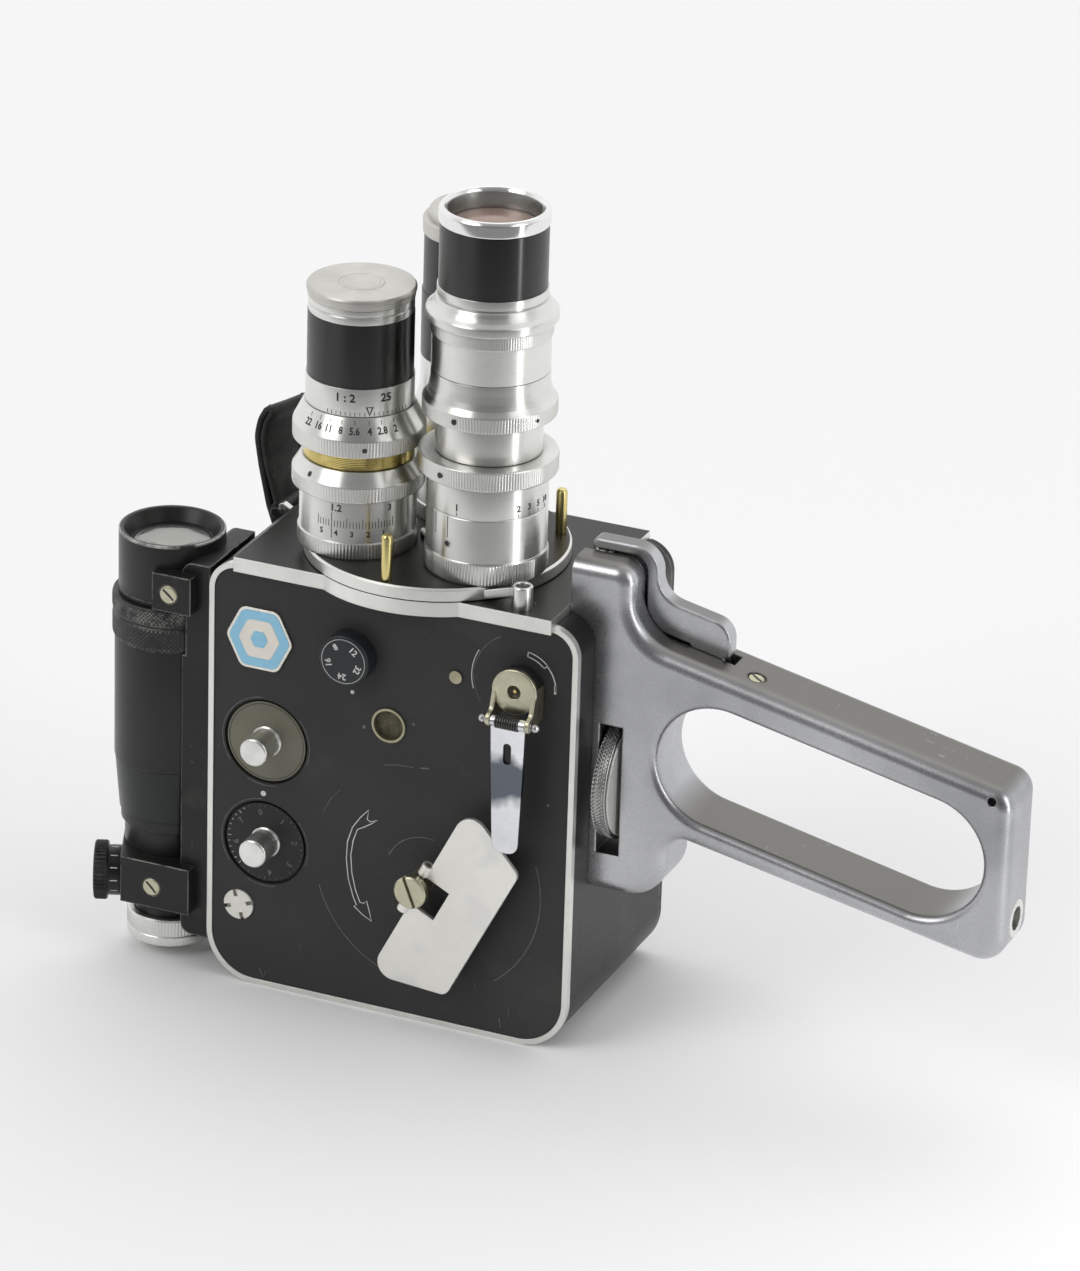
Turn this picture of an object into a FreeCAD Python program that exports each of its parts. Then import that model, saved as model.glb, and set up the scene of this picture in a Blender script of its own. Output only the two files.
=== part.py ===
import FreeCAD, Part
import math
import os

V = FreeCAD.Vector

# Spring-wound double-8 movie camera that stands on its rear face, lengths in millimetres.
# X runs from the top face of the housing towards the pistol grip, Y from the side plate
# towards the film door, and Z up from the rear face towards the lenses. The finished
# pieces are moved so that the origin is the middle of the rear face.

# Clearances
RUN = 0.05
FACE_RUN = 0.1
AIR = 0.3

# Housing
BODY_W = 103.6
BODY_D = 65.0
BODY_H = 120.0
REAR_CORNER_R = 13.8
FRONT_CORNER_R = 8.0
WALL = 2.6
FRONT_WALL = 5.6
SIDE_T = 2.0
TRIM_W = 1.5
PANEL_SUNK = 0.3
LEDGE = 1.5
WINDOW_MARGIN = 2.7
WINDOW_LIP = 3.0

# Film door, hinged beside the top face
DOOR_T = 3.0
DOOR_EDGE_R = 1.4
HINGE_R = 2.0
HINGE_PIN_R = 0.9
HINGE_OUT = 2.3
HINGE_LOW = 30.0
HINGE_DOWN = 28.0
HINGE_HIGH = BODY_H - HINGE_DOWN
HINGE_END = 9.0
LATCH_IN = 15.6
LATCH_AT = (BODY_W - LATCH_IN, BODY_H / 2)
LATCH_R = 9.0
LATCH_RISE = 1.2
LATCH_STUD_R = 2.5
LATCH_BAR_L = 13.0
LATCH_BAR_W = 4.0
LATCH_BAR_T = 1.2

# Front plate and turret
PLATE_INSET = 7.3
PLATE_SEAT = 2.0
PLATE_T = 4.0
PLATE_OVER = 1.0
TURRET_DEEP = 28.0
TURRET_AT = (BODY_W / 2, TURRET_DEEP)
BULGE_R = 34.6
TURRET_GAP = 0.3
TURRET_R = 34.65
TURRET_T = 3.4
PIVOT_R = 3.0
PIVOT_HEAD_H = 1.6
LENS_PITCH = 20.9
LENS_PORT_R = 8.0
APERTURE_R = 5.0
TURRET_PIN_R = 1.7
TURRET_PIN_PITCH = 31.9
TURRET_PIN_H = 12.6
RELEASE_OUT = 34.5
RELEASE_FORE = 22.2
RELEASE_AT = (TURRET_AT[0] + RELEASE_OUT, TURRET_AT[1] - RELEASE_FORE)
RELEASE_R = 2.6
RELEASE_BORE_R = 1.6
RELEASE_H = 7.2
CATCH_T = 2.3
CATCH_EYE_R = 3.8
CATCH_NOSE_R = 1.4
CATCH_ANGLE = -46.0

# Lens in the front left port: base, scale barrel, focus ring, helicoid, iris ring, hood, cap
LENS_BORE_R = 8.0
LENS_CORE_R = 12.0
A_BASE_R = 15.6
A_BASE_H = 4.4
A_SCALE_R = 15.1
A_SCALE_H = 11.9
A_FOCUS_R = 17.2
A_FOCUS_RIM_H = 4.1
A_FOCUS_NECK_R = 14.9
A_FOCUS_CONE_H = 3.8
A_HELICOID_R = 14.3
A_HELICOID_H = 4.5
A_IRIS_R = 17.2
A_IRIS_RIM_H = 4.6
A_IRIS_NECK_R = 14.3
A_IRIS_CONE_H = 5.6
A_NAME_R = 14.0
A_NAME_H = 7.5
A_HOOD_R = 13.7
A_HOOD_H = 17.1
A_STEP_R = 13.6
A_STEP_H = 3.9
A_CAP_R = 14.1
A_CAP_H = 3.0
CAP_PLUG_R = 11.3
CAP_PLUG_H = 6.0
CAP_WALL = 1.2

# Lens in the front right port: the long one
B_BASE_R = 16.0
B_BASE_H = 6.0
B_SCALE_R = 15.6
B_SCALE_H = 20.6
B_FOCUS_R = 18.0
B_FOCUS_H = 5.6
B_NECK_R = 13.8
B_NECK_H = 10.0
B_IRIS_R = 17.3
B_IRIS_RIM_H = 4.3
B_IRIS_NECK_R = 15.2
B_IRIS_CONE_H = 7.8
B_TUBE_H = 12.1
B_FLANGE_R = 17.0
B_FLANGE_H = 4.2
B_SLOPE_R = 14.1
B_SLOPE_H = 4.1
B_SILVER_H = 1.9
B_HOOD_R = 13.85
B_HOOD_H = 16.5
B_RIM_R = 14.2
B_RIM_H = 4.4
B_MOUTH_R = 12.2
B_MOUTH_DEPTH = 8.7
B_GLASS_SEAT_R = 10.6

# Lens in the rear port, in the taking position
C_BASE_R = 15.6
C_BASE_H = 4.4
C_SCALE_R = 15.1
C_SCALE_H = 13.9
C_FOCUS_R = 17.2
C_FOCUS_RIM_H = 6.0
C_FOCUS_NECK_R = 14.6
C_FOCUS_CONE_H = 6.0
C_FLARE_R = 15.4
C_FLARE_H = 6.2
C_SILVER_R = 14.0
C_SILVER_H = 7.1
C_DARK_R = 14.1
C_DARK_H = 17.7
C_HOOD_R = 13.8
C_HOOD_H = 15.7
C_CAP_R = 14.2
C_CAP_H = 4.0
C_CAP_TOP_R = 12.6
C_CAP_TOP_H = 2.3
GLASS_R = 10.8
GLASS_T = 2.6
GLASS_CROWN = 0.8

# Side plate fittings, each placed by its X and Z from the edges of the housing
BADGE_IN = 14.6
BADGE_DOWN = 20.0
BADGE_AT = (BADGE_IN, BODY_H - BADGE_DOWN)
BADGE_W = 19.0
BADGE_H = 17.0
BADGE_T = 0.6
SPEED_IN = 40.6
SPEED_DOWN = 19.1
SPEED_AT = (SPEED_IN, BODY_H - SPEED_DOWN)
SPEED_R = 7.0
SPEED_H = 5.2
SPEED_SHAFT_R = 1.5
DIAL_IN = 16.6
COUNTER_DOWN = 49.0
DIAL_PITCH = 29.1
COUNTER_AT = (DIAL_IN, BODY_H - COUNTER_DOWN)
FRAME_DIAL_AT = (DIAL_IN, COUNTER_AT[1] - DIAL_PITCH)
DIAL_R = 11.2
DIAL_GAP = 0.7
DIAL_T = 0.9
DIAL_POCKET = 1.2
DIAL_SHAFT_R = 1.2
KNOB_R = 3.9
KNOB_H = 8.0
KNOB_EDGE = 0.6
EYELET_IN = 51.5
EYELET_DOWN = 36.9
EYELET_AT = (EYELET_IN, BODY_H - EYELET_DOWN)
EYELET_R = 4.75
EYELET_BORE_R = 4.1
EYELET_PROUD = 0.5
RIVET_IN = 33.6
RIVET_DOWN = 19.4
RIVET_AT = (BODY_W - RIVET_IN, BODY_H - RIVET_DOWN)
RIVET_R = 1.75
NUT_IN = 9.3
NUT_DOWN = 19.5
NUT_AT = (NUT_IN, FRAME_DIAL_AT[1] - NUT_DOWN)
NUT_R = 4.2
NUT_SLOT_W = 1.1
NUT_SLOT_L = 1.9

# Rewind crank
CRANK_IN = 15.1
CRANK_DOWN = 17.6
CRANK_AT = (BODY_W - CRANK_IN, BODY_H - CRANK_DOWN)
CRANK_HUB_R = 6.2
CRANK_HUB_TOP = 5.5
CRANK_SHAFT_R = 2.0
CRANK_SCREW_R = 1.8
CRANK_DROP = 7.4
CRANK_PIN_LIFT = 8.05
CRANK_PIN_R = 0.7
CRANK_PIN_L = 14.5
CRANK_EAR_T = 1.2
CRANK_EAR_R = 1.7
ARM_TOP_W = 9.5
ARM_TIP_W = 7.0
ARM_L = 36.4
ARM_T = 1.3
ARM_KNUCKLE_R = 1.5
ARM_SLOT_L = 5.8
ARM_SLOT_W = 2.2
ARM_SLOT_DOWN = 5.6

# Winding key on the mainspring arbor, whose place goes with the module of the wheels
WIDTH_TEETH = 103.6
MODULE = BODY_W / WIDTH_TEETH
KEY_IN = 40.8
KEY_UP = 42.0
KEY_AT = (BODY_W - KEY_IN * MODULE, KEY_UP)
KEY_ANGLE = 63.2
ARBOR_R = 3.2
KEY_HINGE_LIFT = 6.0
KEY_HEAD_R = 4.5
KEY_HEAD_TOP = 10.2
KEY_HEAD_T = 2.3
KEY_SLOT_W = 0.9
KEY_SLOT_D = 1.0
KEY_PIN_R = 0.8
KEY_T = 1.2
KEY_NEAR_HALF = 30.2
KEY_FAR_HALF = 21.7
KEY_NEAR = 1.0
KEY_FAR = 21.5
KEY_NEAR_R = 4.6
KEY_FAR_R = 2.6
KEY_NOTCH_HALF = 4.8
KEY_NOTCH_DEPTH = 8.5
KEY_KNUCKLE_R = 1.6
KEY_KNUCKLE_L = 3.2

# Clockwork between the bridge and the works plate
BRIDGE_T = 1.5
WORKS_Y = 38.0
WORKS_T = 2.0
PILLAR_R = 3.0
PILLAR_IN = 9.0
GEAR_Y = 30.0
GEAR_T = 4.0
BARREL_TEETH = 60
PINION_TEETH = 10
TAKE_UP_TEETH = 34
CROWN_TEETH = 40
DRUM_INSET = 3.0
DRUM_Y = 5.0
DRUM_L = 16.0
DRUM_NECK_R = 11.0
WHEEL_SHAFT_R = 1.5
CENTRE_BEARING = 102.3
CROWN_R = 18.0 * MODULE
CROWN_FACE_W = 3.0
CROWN_TOOTH_H = 2.0
CROWN_DISC_T = 2.2
SHUTTER_PINION_R = 4.5 * MODULE
SHUTTER_PINION_H = 8.0
SHUTTER_COVER = 2.8
SPINDLE_R = 1.2
SHUTTER_DISC_T = 0.8
SHUTTER_DISC_DROP = 2.0
SHUTTER_OPEN = 150.0
TAKE_UP_BEARING = 139.1
TAKE_UP_SHAFT_R = 2.5
SPOOL_FLANGE_R = 24.2 * MODULE
SPOOL_CORE_R = 7.0
SPOOL_FLANGE_T = 1.0
SPOOL_GAP = 2.0
SPOOL_END_GAP = 3.0
FEED_IN = 28.1
FEED_UP = 46.0
FEED_AT = (BODY_W - FEED_IN, FEED_UP)
FEED_R = 3.0
FEED_END_GAP = 4.0
GATE_W = 16.0
GATE_BEYOND = 4.5
GATE_T = 1.2
GATE_DROP = 1.0
GATE_FRAME_W = 4.9
GATE_FRAME_H = 3.5
PRESS_T = 1.0
PRESS_GAP = 0.4

# Pistol grip
GRIP_Y = 11.0
GRIP_T = 19.5
GRIP_LENGTH = 113.4
GRIP_END = BODY_W + GRIP_LENGTH
GRIP_LOW_DOWN = 77.0
GRIP_LOW = BODY_H - GRIP_LOW_DOWN
GRIP_FOOT_W = 20.9
GRIP_ARMPIT_RISE = 19.6
GRIP_ARMPIT_Z = GRIP_LOW + GRIP_ARMPIT_RISE
GRIP_END_RISE = 1.5
GRIP_END_LOW = GRIP_LOW + GRIP_END_RISE
GRIP_END_H = 49.1
GRIP_END_TOP = GRIP_END_LOW + GRIP_END_H
GRIP_HEAD_OUT = 9.6
GRIP_HEAD_X = BODY_W + GRIP_HEAD_OUT
GRIP_HEAD_DOWN = 4.3
GRIP_HEAD_LOW = BODY_H - GRIP_HEAD_DOWN
GRIP_HEAD_RISE = 14.5
GRIP_HEAD_TOP = BODY_H + GRIP_HEAD_RISE
GRIP_LIP_IN = 7.1
GRIP_LIP_X = BODY_W - GRIP_LIP_IN
GRIP_SHOULDER_R = 3.8
GRIP_HEAD_CORNER_R = 5.0
OPENING_EDGE_R = 2.2
OPENING_NEAR = 17.0
OPENING_FAR = 6.2
OPENING_L = GRIP_LENGTH - OPENING_NEAR - OPENING_FAR
OPENING_W = 33.0
OPENING_LOWER = 1.6
TRIPOD_UP = 11.3
TRIPOD_Z = GRIP_END_LOW + TRIPOD_UP
TRIPOD_BORE_R = 3.175
TRIPOD_BUSH_R = 5.0
TRIPOD_DEPTH = 9.0
GRIP_HOLE_IN = 5.3
GRIP_HOLE_DOWN = 2.3
GRIP_HOLE_AT = (GRIP_END - GRIP_HOLE_IN, GRIP_END_TOP - GRIP_HOLE_DOWN)
GRIP_HOLE_R = 1.2

# Thumbwheel that holds the grip on the housing
THUMB_UP = 29.4
THUMB_Z = GRIP_LOW + THUMB_UP
THUMB_R = 16.5
THUMB_T = 4.5
THUMB_IN = 2.4
THUMB_SLOT_IN = 2.0
THUMB_SLOT_T = 6.4
THUMB_SCREW_R = 3.175
THUMB_STUB_R = 2.5
THUMB_STUB_L = 2.4
BUSH_R = 5.2
BUSH_FLANGE_R = 7.0
BUSH_L = 5.0
BUSH_FLANGE_T = 1.4

# Trigger and release button
TRIGGER_W = 5.0
TRIGGER_IN = 8.6
TRIGGER_SIDE = 0.3
TRIGGER_PIVOT_OUT = 29.4
TRIGGER_PIVOT_DOWN = 14.0
TRIGGER_PIVOT = (BODY_W + TRIGGER_PIVOT_OUT, BODY_H - TRIGGER_PIVOT_DOWN)
TRIGGER_BOSS_R = 3.4
TRIGGER_PIN_R = 1.2
TRIGGER_WEB_GAP = 0.4
TRIGGER_HEEL_IN = 5.2
TRIGGER_HEEL_X = BODY_W - TRIGGER_HEEL_IN
TRIGGER_WEB_X = GRIP_HEAD_X + TRIGGER_WEB_GAP
TRIGGER_WEB_T = 3.2
TRIGGER_BACK_X = TRIGGER_WEB_X + TRIGGER_WEB_T
TRIGGER_HOOD_L = 20.1
TRIGGER_NOSE_X = TRIGGER_BACK_X + TRIGGER_HOOD_L
TRIGGER_PAD_T = 3.1
TRIGGER_TOP = GRIP_HEAD_TOP + TRIGGER_PAD_T
TRIGGER_HOOD_DOWN = 13.0
TRIGGER_HOOD_TOP = TRIGGER_TOP - TRIGGER_HOOD_DOWN
TRIGGER_HOOD_FALL = 4.3
TRIGGER_HOOD_END = TRIGGER_HOOD_TOP - TRIGGER_HOOD_FALL
TRIGGER_ROOM_BACK = 4.0
TRIGGER_ROOM_DEEP = 3.3
TRIGGER_ROOM_FORE = 6.0
TRIGGER_SHEET = 1.3
TRIGGER_EDGE_R = 0.7
TRIGGER_ANGLE = 5.0
BUTTON_IN = 2.6
BUTTON_X = BODY_W - BUTTON_IN
BUTTON_R = 2.4
BUTTON_RISE = 2.6
BUTTON_LOW = BODY_H + BUTTON_RISE

# Viewfinder
FINDER_AT = (-17.1, 13.0)
FINDER_BASE_T = 8.0
FINDER_BASE_Y = 0.5
FINDER_BASE_W = 26.5
FINDER_BASE_LOW = 10.2
FINDER_BASE_DOWN = 3.0
FINDER_BASE_TOP = BODY_H - FINDER_BASE_DOWN
TUBE_R = 15.0
TUBE_BORE_R = 9.6
TUBE_LOW = 56.0
HEAD_L = 17.6
HEAD_RISE = 0.6
HEAD_TOP = BODY_H + HEAD_RISE
ZOOM_TOP = HEAD_TOP - HEAD_L
ZOOM_L = 12.0
TUBE_TOP = ZOOM_TOP - ZOOM_L
TAPER_LOW = 41.0
TAPER_R = 13.6
COLLAR_R = 13.2
COLLAR_LOW = 37.6
EYE_TUBE_R = 12.2
EYE_TUBE_LOW = 17.0
EYE_NECK_R = 9.6
EYE_NECK_LOW = 5.5
EYE_BORE_R = 7.5
ZOOM_R = 15.7
ZOOM_NECK_R = 13.2
HEAD_R = 14.0
HEAD_MOUTH_R = 12.9
HEAD_MOUTH_DEPTH = 3.4
FRONT_GLASS_R = 10.7
FRONT_GLASS_EDGE = 1.4
FRONT_GLASS_DOME = 0.6
EYEPIECE_R = 11.6
EYEPIECE_LOW = 3.5
EYEPIECE_TOP = 11.3
EYECUP_R = 8.4
CLAMP_Y = -3.0
REAR_CLAMP_X = -24.0
REAR_CLAMP_LOW = 17.3
REAR_CLAMP_TOP = 30.4
FRONT_CLAMP_X = -15.0
FRONT_CLAMP_GAP = 0.6
FRONT_CLAMP_H = 10.4
FRONT_CLAMP_LOW = ZOOM_TOP + FRONT_CLAMP_GAP
FRONT_CLAMP_TOP = FRONT_CLAMP_LOW + FRONT_CLAMP_H
CLAMP_BACK = 1.0
CLAMP_END = -4.0
REAR_SCREW_AT = (-14.9, 23.3)
FRONT_SCREW_X = -10.3
FRONT_SCREW_UP = 5.0
FRONT_SCREW_AT = (FRONT_SCREW_X, FRONT_CLAMP_LOW + FRONT_SCREW_UP)
GRIP_SCREW_OUT = 32.0
GRIP_SCREW_IN = 7.0
SCREW_R = 2.5
SCREW_T = 1.4
SCREW_SLOT_W = 0.5
REAR_CLAMP_DEEP = 17.4
PARALLAX_TURN = 22.8
PARALLAX_Z = 22.4
PARALLAX_ALONG = 8.1
PARALLAX_R = 8.0
PARALLAX_T = 3.7
PARALLAX_HUB_R = 6.7
PARALLAX_HUB_L = 3.6

# Leather strap on two lugs
STRAP_IN = 11.7
STRAP_Y = BODY_D - STRAP_IN
STRAP_W = 12.0
STRAP_T = 1.7
LUG_BAR_R = 1.4
LUG_EAR_T = 1.6
LUG_EAR_H = 6.0
FRONT_LUG_OUT = 3.0
FRONT_LUG_DOWN = 5.5
FRONT_LUG_Z = BODY_H - FRONT_LUG_DOWN
FRONT_EYE_R = 2.6
REAR_LUG_OUT = 5.0
REAR_LUG_Z = 14.0
REAR_EYE_R = 3.6
STRAP_RISE = 29.0
STRAP_FOLD_R = 1.15
STRAP_LEG_GAP = 2.4
STRAP_CREST_X = -4.6
STRAP_INNER_X = -6.2
STRAP_OUTER_X = -9.6
STRAP_PASS_X = -6.9
STRAP_BELLY_X = -13.0

# Sizes that follow from the ones above
PLATE_Z0 = BODY_H - PLATE_SEAT
PLATE_Z1 = PLATE_Z0 + PLATE_T
TURRET_Z0 = PLATE_Z1 + TURRET_GAP
TURRET_Z1 = TURRET_Z0 + TURRET_T
CAVITY_TOP = BODY_H - FRONT_WALL
DOOR_Y = BODY_D - DOOR_T
GRIP_MID = GRIP_Y + GRIP_T / 2
BRIDGE_Y1 = SIDE_T + BRIDGE_T
WORKS_Y1 = WORKS_Y + WORKS_T
PIVOT_HEAD_R = LENS_PITCH - max(A_BASE_R, B_BASE_R, C_BASE_R) - AIR
SPOOL_Y = WORKS_Y1 + SPOOL_GAP
SPOOL_W = DOOR_Y - SPOOL_END_GAP - SPOOL_Y
FEED_L = DOOR_Y - FEED_END_GAP - WORKS_Y1
GRIP_SLOPE = (GRIP_HEAD_LOW - GRIP_END_TOP) / (GRIP_END - GRIP_HEAD_X)
GRIP_UNDER_SLOPE = (GRIP_ARMPIT_Z - GRIP_END_LOW) / (GRIP_LENGTH - GRIP_FOOT_W)
OPENING_TILT = -math.degrees(math.atan(GRIP_SLOPE))
OPENING_X = BODY_W + OPENING_NEAR + OPENING_L / 2
OPENING_ROOF = GRIP_HEAD_LOW - GRIP_SLOPE * (OPENING_X - GRIP_HEAD_X)
OPENING_FLOOR = GRIP_ARMPIT_Z - GRIP_UNDER_SLOPE * (OPENING_X - BODY_W - GRIP_FOOT_W)
OPENING_AT = (OPENING_X, (OPENING_ROOF + OPENING_FLOOR) / 2 - OPENING_LOWER)
GRIP_SCREW_AT = (GRIP_HEAD_X + GRIP_SCREW_OUT, GRIP_HEAD_LOW - GRIP_SLOPE * GRIP_SCREW_OUT)
GRIP_SCREW_Y = GRIP_Y + GRIP_SCREW_IN
TRIGGER_MID = GRIP_Y + TRIGGER_IN + TRIGGER_W / 2
STRAP_CREST_Z = FRONT_LUG_Z + STRAP_RISE
STRAP_PATH = [(-FRONT_LUG_OUT, FRONT_LUG_Z, 0),
              (STRAP_INNER_X, FRONT_LUG_Z + STRAP_RISE / 2, STRAP_T * 8),
              (STRAP_CREST_X, STRAP_CREST_Z, STRAP_FOLD_R),
              (STRAP_CREST_X - STRAP_LEG_GAP, STRAP_CREST_Z + 0.3, STRAP_FOLD_R),
              (STRAP_OUTER_X, STRAP_CREST_Z - STRAP_RISE / 4, STRAP_T * 3.5),
              (STRAP_PASS_X, FRONT_LUG_Z + FRONT_EYE_R, STRAP_T * 12),
              (STRAP_BELLY_X, BODY_H * 0.8, STRAP_T * 18),
              (STRAP_BELLY_X, BODY_H * 0.58, STRAP_T * 30),
              (-REAR_LUG_OUT, REAR_LUG_Z, 0)]


def lens_at(angle):
    return (TURRET_AT[0] + LENS_PITCH * math.cos(math.radians(angle)),
            TURRET_AT[1] + LENS_PITCH * math.sin(math.radians(angle)))


LENS_A_AT = lens_at(-150)
LENS_B_AT = lens_at(-30)
LENS_C_AT = lens_at(90)
GATE_L = LENS_C_AT[1] + GATE_BEYOND - WORKS_Y1


def beside(start, distance, angle):
    """Point (X, Z) at a distance from another, at an angle from X towards Z."""
    return (start[0] + distance * math.cos(math.radians(angle)),
            start[1] + distance * math.sin(math.radians(angle)))


BARREL_PITCH_R = MODULE * BARREL_TEETH / 2
PINION_PITCH_R = MODULE * PINION_TEETH / 2
TAKE_UP_PITCH_R = MODULE * TAKE_UP_TEETH / 2
CENTRE_AT = beside(KEY_AT, BARREL_PITCH_R + PINION_PITCH_R, CENTRE_BEARING)
TAKE_UP_AT = beside(KEY_AT, BARREL_PITCH_R + TAKE_UP_PITCH_R, TAKE_UP_BEARING)
CROWN_ROOT_Y = GEAR_Y + 1.0 - SHUTTER_PINION_R - 1.2
SHUTTER_AT = (CENTRE_AT[0], CROWN_ROOT_Y + CROWN_TOOTH_H / 2 + SHUTTER_PINION_R)
SHUTTER_MESH_Z = CENTRE_AT[1] + CROWN_R
SHUTTER_DISC_R = LENS_C_AT[1] + SHUTTER_COVER - SHUTTER_AT[1]
DRUM_R = BARREL_PITCH_R - DRUM_INSET


def box(x0, x1, y0, y1, z0, z1):
    return Part.makeBox(x1 - x0, y1 - y0, z1 - z0, V(x0, y0, z0))


def rod_x(y, z, r, x0, x1):
    return Part.makeCylinder(r, x1 - x0, V(x0, y, z), V(1, 0, 0))


def rod_y(at, r, y0, y1):
    return Part.makeCylinder(r, y1 - y0, V(at[0], y0, at[1]), V(0, 1, 0))


def rod_z(at, r, z0, z1):
    return Part.makeCylinder(r, z1 - z0, V(at[0], at[1], z0), V(0, 0, 1))


def turned(profile, at):
    """Turn a closed (radius, Z) profile about the upright axis through (X, Y)."""
    corners = [V(r, 0, z) for r, z in profile]
    face = Part.Face(Part.makePolygon(corners + corners[:1]))
    solid = face.revolve(V(0, 0, 0), V(0, 0, 1), 360)
    solid.translate(V(at[0], at[1], 0))
    return solid


def turned_y(profile, at):
    """Turn a closed (radius, Y) profile about the axis along Y through (X, Z)."""
    corners = [V(r, y, 0) for r, y in profile]
    face = Part.Face(Part.makePolygon(corners + corners[:1]))
    solid = face.revolve(V(0, 0, 0), V(0, 1, 0), 360)
    solid.translate(V(at[0], 0, at[1]))
    return solid


def loop(corners, lift):
    """Closed wire through (a, b, radius) corners, each rounded by an arc."""
    edges = []
    ends = []
    count = len(corners)
    for i in range(count):
        a, b, r = corners[i]
        here = V(a, b, 0)
        if r == 0:
            ends.append((here, here, here))
            continue
        before = corners[i - 1]
        after = corners[(i + 1) % count]
        back = (V(before[0], before[1], 0) - here).normalize()
        on = (V(after[0], after[1], 0) - here).normalize()
        half = back.getAngle(on) / 2
        reach = r / math.tan(half)
        centre = here + (back + on).normalize() * (r / math.sin(half))
        middle = centre + (here - centre).normalize() * r
        ends.append((here + back * reach, middle, here + on * reach))
    for i in range(count):
        start, middle, stop = ends[i]
        if start != stop:
            edges.append(Part.Arc(lift(start), lift(middle), lift(stop)).toShape())
        follow = ends[(i + 1) % count][0]
        if (follow - stop).Length > 1e-6:
            edges.append(Part.LineSegment(lift(stop), lift(follow)).toShape())
    return Part.Wire(edges)


def prism_y(corners, y0, y1):
    """Solid with an outline in X and Z, between two Y planes."""
    wire = loop(corners, lambda p: V(p.x, y0, p.y))
    return Part.Face(wire).extrude(V(0, y1 - y0, 0))


def prism_z(corners, z0, z1):
    """Solid with an outline in X and Y, between two Z planes."""
    wire = loop(corners, lambda p: V(p.x, p.y, z0))
    return Part.Face(wire).extrude(V(0, 0, z1 - z0))


def square(points):
    return [(a, b, 0) for a, b in points]


def housing_outline(inset, top):
    rear = REAR_CORNER_R - inset
    front = FRONT_CORNER_R - inset
    return [(inset, inset, rear), (BODY_W - inset, inset, rear),
            (BODY_W - inset, top, front), (inset, top, front)]


def cavity(inset, y0, y1):
    """Room inside the housing wall, between two Y planes."""
    edge = WALL + inset
    rear = REAR_CORNER_R - edge
    front = FRONT_CORNER_R - WALL
    top = CAVITY_TOP - inset
    corners = [(edge, edge, rear), (BODY_W - edge, edge, rear),
               (BODY_W - edge, top, front), (edge, top, front)]
    return prism_y(corners, y0, y1)


def plate_room(gap, y0, y1):
    """Space of the front plate with a gap round it, cut out of what it covers."""
    return box(PLATE_INSET - gap, BODY_W - PLATE_INSET + gap, y0, y1,
               PLATE_Z0 - gap, BODY_H + 10)


def hinge_tube(z0, z1):
    at = (-HINGE_OUT, DOOR_Y)
    return rod_z(at, HINGE_R, z0, z1)


# Housing pieces


def body_shell():
    shell = prism_y(housing_outline(0, BODY_H), SIDE_T, DOOR_Y)
    shell = shell.cut(cavity(0, SIDE_T - 1, DOOR_Y + 1))
    ledge = cavity(0, WORKS_Y - LEDGE, WORKS_Y).cut(cavity(LEDGE, 0, DOOR_Y))
    shell = shell.fuse(ledge)
    shell = shell.cut(plate_room(0, 0, BODY_D))
    window = box(PLATE_INSET + WINDOW_MARGIN, BODY_W - PLATE_INSET - WINDOW_MARGIN,
                 SIDE_T + WINDOW_LIP, DOOR_Y - WINDOW_LIP, CAVITY_TOP - 1, BODY_H)
    shell = shell.cut(window)
    shell = shell.cut(rod_x(GRIP_MID, THUMB_Z, BUSH_R, BODY_W - WALL - 1, BODY_W + 1))
    for low in (HINGE_LOW, HINGE_HIGH - HINGE_END):
        leaf = box(-HINGE_OUT, 0, DOOR_Y - HINGE_R, DOOR_Y - AIR, low, low + HINGE_END)
        shell = shell.fuse(hinge_tube(low, low + HINGE_END)).fuse(leaf)
    door_side = box(-0.2, 5, DOOR_Y, DOOR_Y + 5, HINGE_LOW - 1, HINGE_HIGH + 1)
    shell = shell.cut(door_side)
    pin = rod_z((-HINGE_OUT, DOOR_Y), HINGE_PIN_R, HINGE_LOW - 1, HINGE_HIGH + 1)
    return shell.cut(pin).removeSplitter()


def side_trim():
    ring = prism_y(housing_outline(0, BODY_H), 0, SIDE_T)
    ring = ring.cut(prism_y(housing_outline(TRIM_W, BODY_H - TRIM_W), -1, SIDE_T + 1))
    return ring.cut(plate_room(0, -1, SIDE_T + 1))


def side_plate():
    y0 = PANEL_SUNK
    plate = prism_y(housing_outline(TRIM_W, BODY_H - TRIM_W), y0, SIDE_T)
    plate = plate.cut(plate_room(0, -1, SIDE_T + 1))
    for at in (COUNTER_AT, FRAME_DIAL_AT):
        plate = plate.cut(rod_y(at, DIAL_R + DIAL_GAP, y0 - 1, y0 + DIAL_POCKET))
        plate = plate.cut(rod_y(at, DIAL_SHAFT_R + RUN, 0, SIDE_T + 1))
    holes = [(KEY_AT, ARBOR_R + RUN), (CRANK_AT, CRANK_SHAFT_R + RUN),
             (SPEED_AT, SPEED_SHAFT_R + RUN), (EYELET_AT, EYELET_R),
             (RIVET_AT, RIVET_R), (NUT_AT, NUT_R)]
    for at, r in holes:
        plate = plate.cut(rod_y(at, r, 0, SIDE_T + 1))
    return plate


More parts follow.
